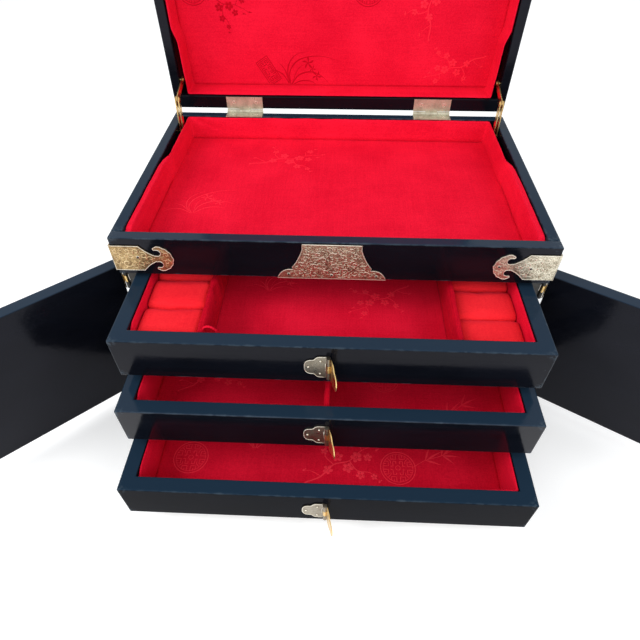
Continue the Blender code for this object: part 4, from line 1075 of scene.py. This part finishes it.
# One shader lights the object; the other is what the camera, reflections and glass see
def light_and_show(tree, output, lighting, shown):
    rays = add(tree, "LightPath").outputs
    seen = larger(larger(rays["Is Camera Ray"], rays["Is Glossy Ray"]), rays["Is Transmission Ray"])
    mixed = add(tree, "MixShader", {0: seen, 1: lighting, 2: shown}).outputs[0]
    add(tree, output, {0: mixed})


def add_floor():
    mesh = bpy.data.meshes.new("floor")
    corners = [(*polar(0, 0, FLOOR_RADIUS, tau * k / FLOOR_SIDES), 0) for k in range(FLOOR_SIDES)]
    mesh.from_pydata(corners, [], [tuple(range(FLOOR_SIDES))])
    floor = new_object("floor", mesh)
    material = start("floor")[0]
    tree = material.node_tree
    tree.nodes.clear()
    plain = add(tree, "BsdfDiffuse", {"Color": (0.62, 0.62, 0.62, 1)}).outputs[0]
    white = add(tree, "BsdfDiffuse", {"Color": (0.80, 0.80, 0.80, 1)}).outputs[0]
    glow = add(tree, "Emission", {"Color": (1, 1, 1, 1), "Strength": FLOOR_GLOW}).outputs[0]
    bright = add(tree, "AddShader", {0: white, 1: glow}).outputs[0]
    light_and_show(tree, "OutputMaterial", plain, bright)
    mesh.materials.append(material)


def add_world():
    world = bpy.data.worlds.new("world")
    bpy.context.scene.world = world
    world.use_nodes = True
    tree = world.node_tree
    tree.nodes.clear()
    soft = add(tree, "Background", {"Color": (0.94, 0.97, 1.0, 1), "Strength": WORLD_LIGHT})
    white = add(tree, "Background", {"Color": (1, 1, 1, 1), "Strength": 1.0})
    light_and_show(tree, "OutputWorld", soft.outputs[0], white.outputs[0])


def add_lamps():
    for name, (place, size, power) in LAMPS.items():
        data = bpy.data.lights.new(name, "AREA")
        data.shape = "DISK"
        data.size = size
        data.energy = power
        lamp = new_object(name, data)
        lamp.location = place
        lamp.rotation_euler = (LAMPS_AIM - Vector(place)).to_track_quat("-Z", "Y").to_euler()
        lamp.visible_glossy = False


# Specular level of the lacquered boards that differ from the rest
GLOSS_ELSEWHERE = 0.15
GLOSS = {"drawer_1_frame": 0.10, "drawer_2_frame": 0.18, "drawer_3_frame": 0.012,
         "front_apron": 0.18, "left_side_panel": 0.06, "right_side_panel": 0.06}

# Material of each engraved plate, and of the ribs of its scrolls
PLATES = {"left_corner_plate": (GOLDEN_PLATE, GOLDEN_RIB), "lock_plate": (PLATE_PAINTED_RED_REFLECTION, PALE_RIB),
          "right_corner_plate": (PALE_PLATE, PALE_RIB)}
LID_HINGE = (0.58, 0.56, 0.43)
LID_HINGE_DULL = (0.26, 0.22, 0.15)


# The material of a CAD node
def material_of(name):
    if name == "base_felt":
        return FELT
    if name.endswith("_bottom"):
        return RAW
    if name in PLATES:
        return PLATES[name][0]
    if name.startswith("pull_"):
        return BRONZE if "fixed" in name else GOLD
    if "door" in name and "hinge" in name:
        return PAINTED if "side_leaf" in name else GOLD
    if "hinge" in name:
        # Lid hinge leaves are lighter along their edges, a painted highlight
        return brass("hinge_" + name, LID_HINGE, LID_HINGE_DULL, 0.24, node=name, metal=0.55)
    if "stay" in name:
        return GOLD
    if "lining" in name or "divider" in name or "ring_pads" in name:
        return RED
    return lacquer(name, GLOSS.get(name, GLOSS_ELSEWHERE))


def dress_nodes():
    for name in NODES:
        material = material_of(name)
        for place in NODES[name].material_slots:
            place.material = material


# Engraved plates on the case's front, each with its nails at (x, z)
PLATE_FRONT = -0.1165
PLATE_NAILS = {"lock_plate": [(-0.0357, 0.1728), (0.0, 0.1726), (0.0370, 0.1722)],
               "left_corner_plate": [(-0.1592, 0.1868)],
               "right_corner_plate": [(0.1600, 0.1845), (0.1345, 0.1858)]}
SCROLLS = {"lock_plate": (5, 0.0042, 0.0020), "left_corner_plate": (7, 0.0046, 0.0019),
           "right_corner_plate": (8, 0.0046, 0.0019)}


def dress_plates():
    for name, (seed, size, clear) in SCROLLS.items():
        engrave(name, "carcass", seed, size, PLATES[name][1], [(p, clear) for p in PLATE_NAILS[name]])
    places = [(x, PLATE_FRONT, z) for found in PLATE_NAILS.values() for x, z in found]
    nails("plate_nails", "carcass", places, 0.0010, NAIL_DARK, RIM_METAL)


# Rim and nails of each pull's fixed leaf; nails are given from the drawer's middle and the leaf's height
PULL_LEAF = 0.0010
PULL_HEIGHT = 0.0195
PULL_NAILS = ((-0.0158, 0.0), (-0.0062, 0.0072), (-0.0066, -0.0078))


def dress_pulls():
    for k, (base, face) in DRAWERS.items():
        front = face - PULL_LEAF
        rim_bead(f"pull_{k}_fixed_leaf", f"drawer_{k}", front)
        places = [(x, front, base + PULL_HEIGHT + up) for x, up in PULL_NAILS]
        nails(f"pull_{k}_nails", f"drawer_{k}", places, 0.0009, SCREW, NAIL_DARK)


# Two screws in each leaf of the lid hinges: body, place in y and z, and the way that they face
LID_HINGE_X = 0.1025
SCREW_SHIFTS = (-0.0118, 0.0128)
SCREW_RADIUS = 0.0021
LEAVES = {"lid": ("lid", 0.1188, 0.2150, (0, -1, 0)), "body": ("carcass", 0.1110, RIM, (0, 0, 1))}


def dress_lid_hinges():
    for side, sign in (("left", -1), ("right", 1)):
        for leaf, (body, y, z, normal) in LEAVES.items():
            places = [(sign * LID_HINGE_X + shift, y, z) for shift in SCREW_SHIFTS]
            screws(f"{side}_lid_hinge_screws_{leaf}", body, places, normal)


add_camera()
add_floor()
add_world()
add_lamps()
dress_nodes()
dress_tray()
dress_lid()
dress_drawers()
wrapped_board("drawer_1_divider_left", "drawer_1", 61, 0.00110)
wrapped_board("drawer_1_divider_right", "drawer_1", 62, 0.00060)
curled_edge(DRAWERS[1][0])
wrapped_board("drawer_2_divider", "drawer_2", 63, 0.00030)
ring_pads("ring_pads_left", "drawer_1", 71)
ring_pads("ring_pads_right", "drawer_1", 81)
dress_plates()
dress_pulls()
dress_lid_hinges()

bpy.context.scene.view_settings.view_transform = "Standard"
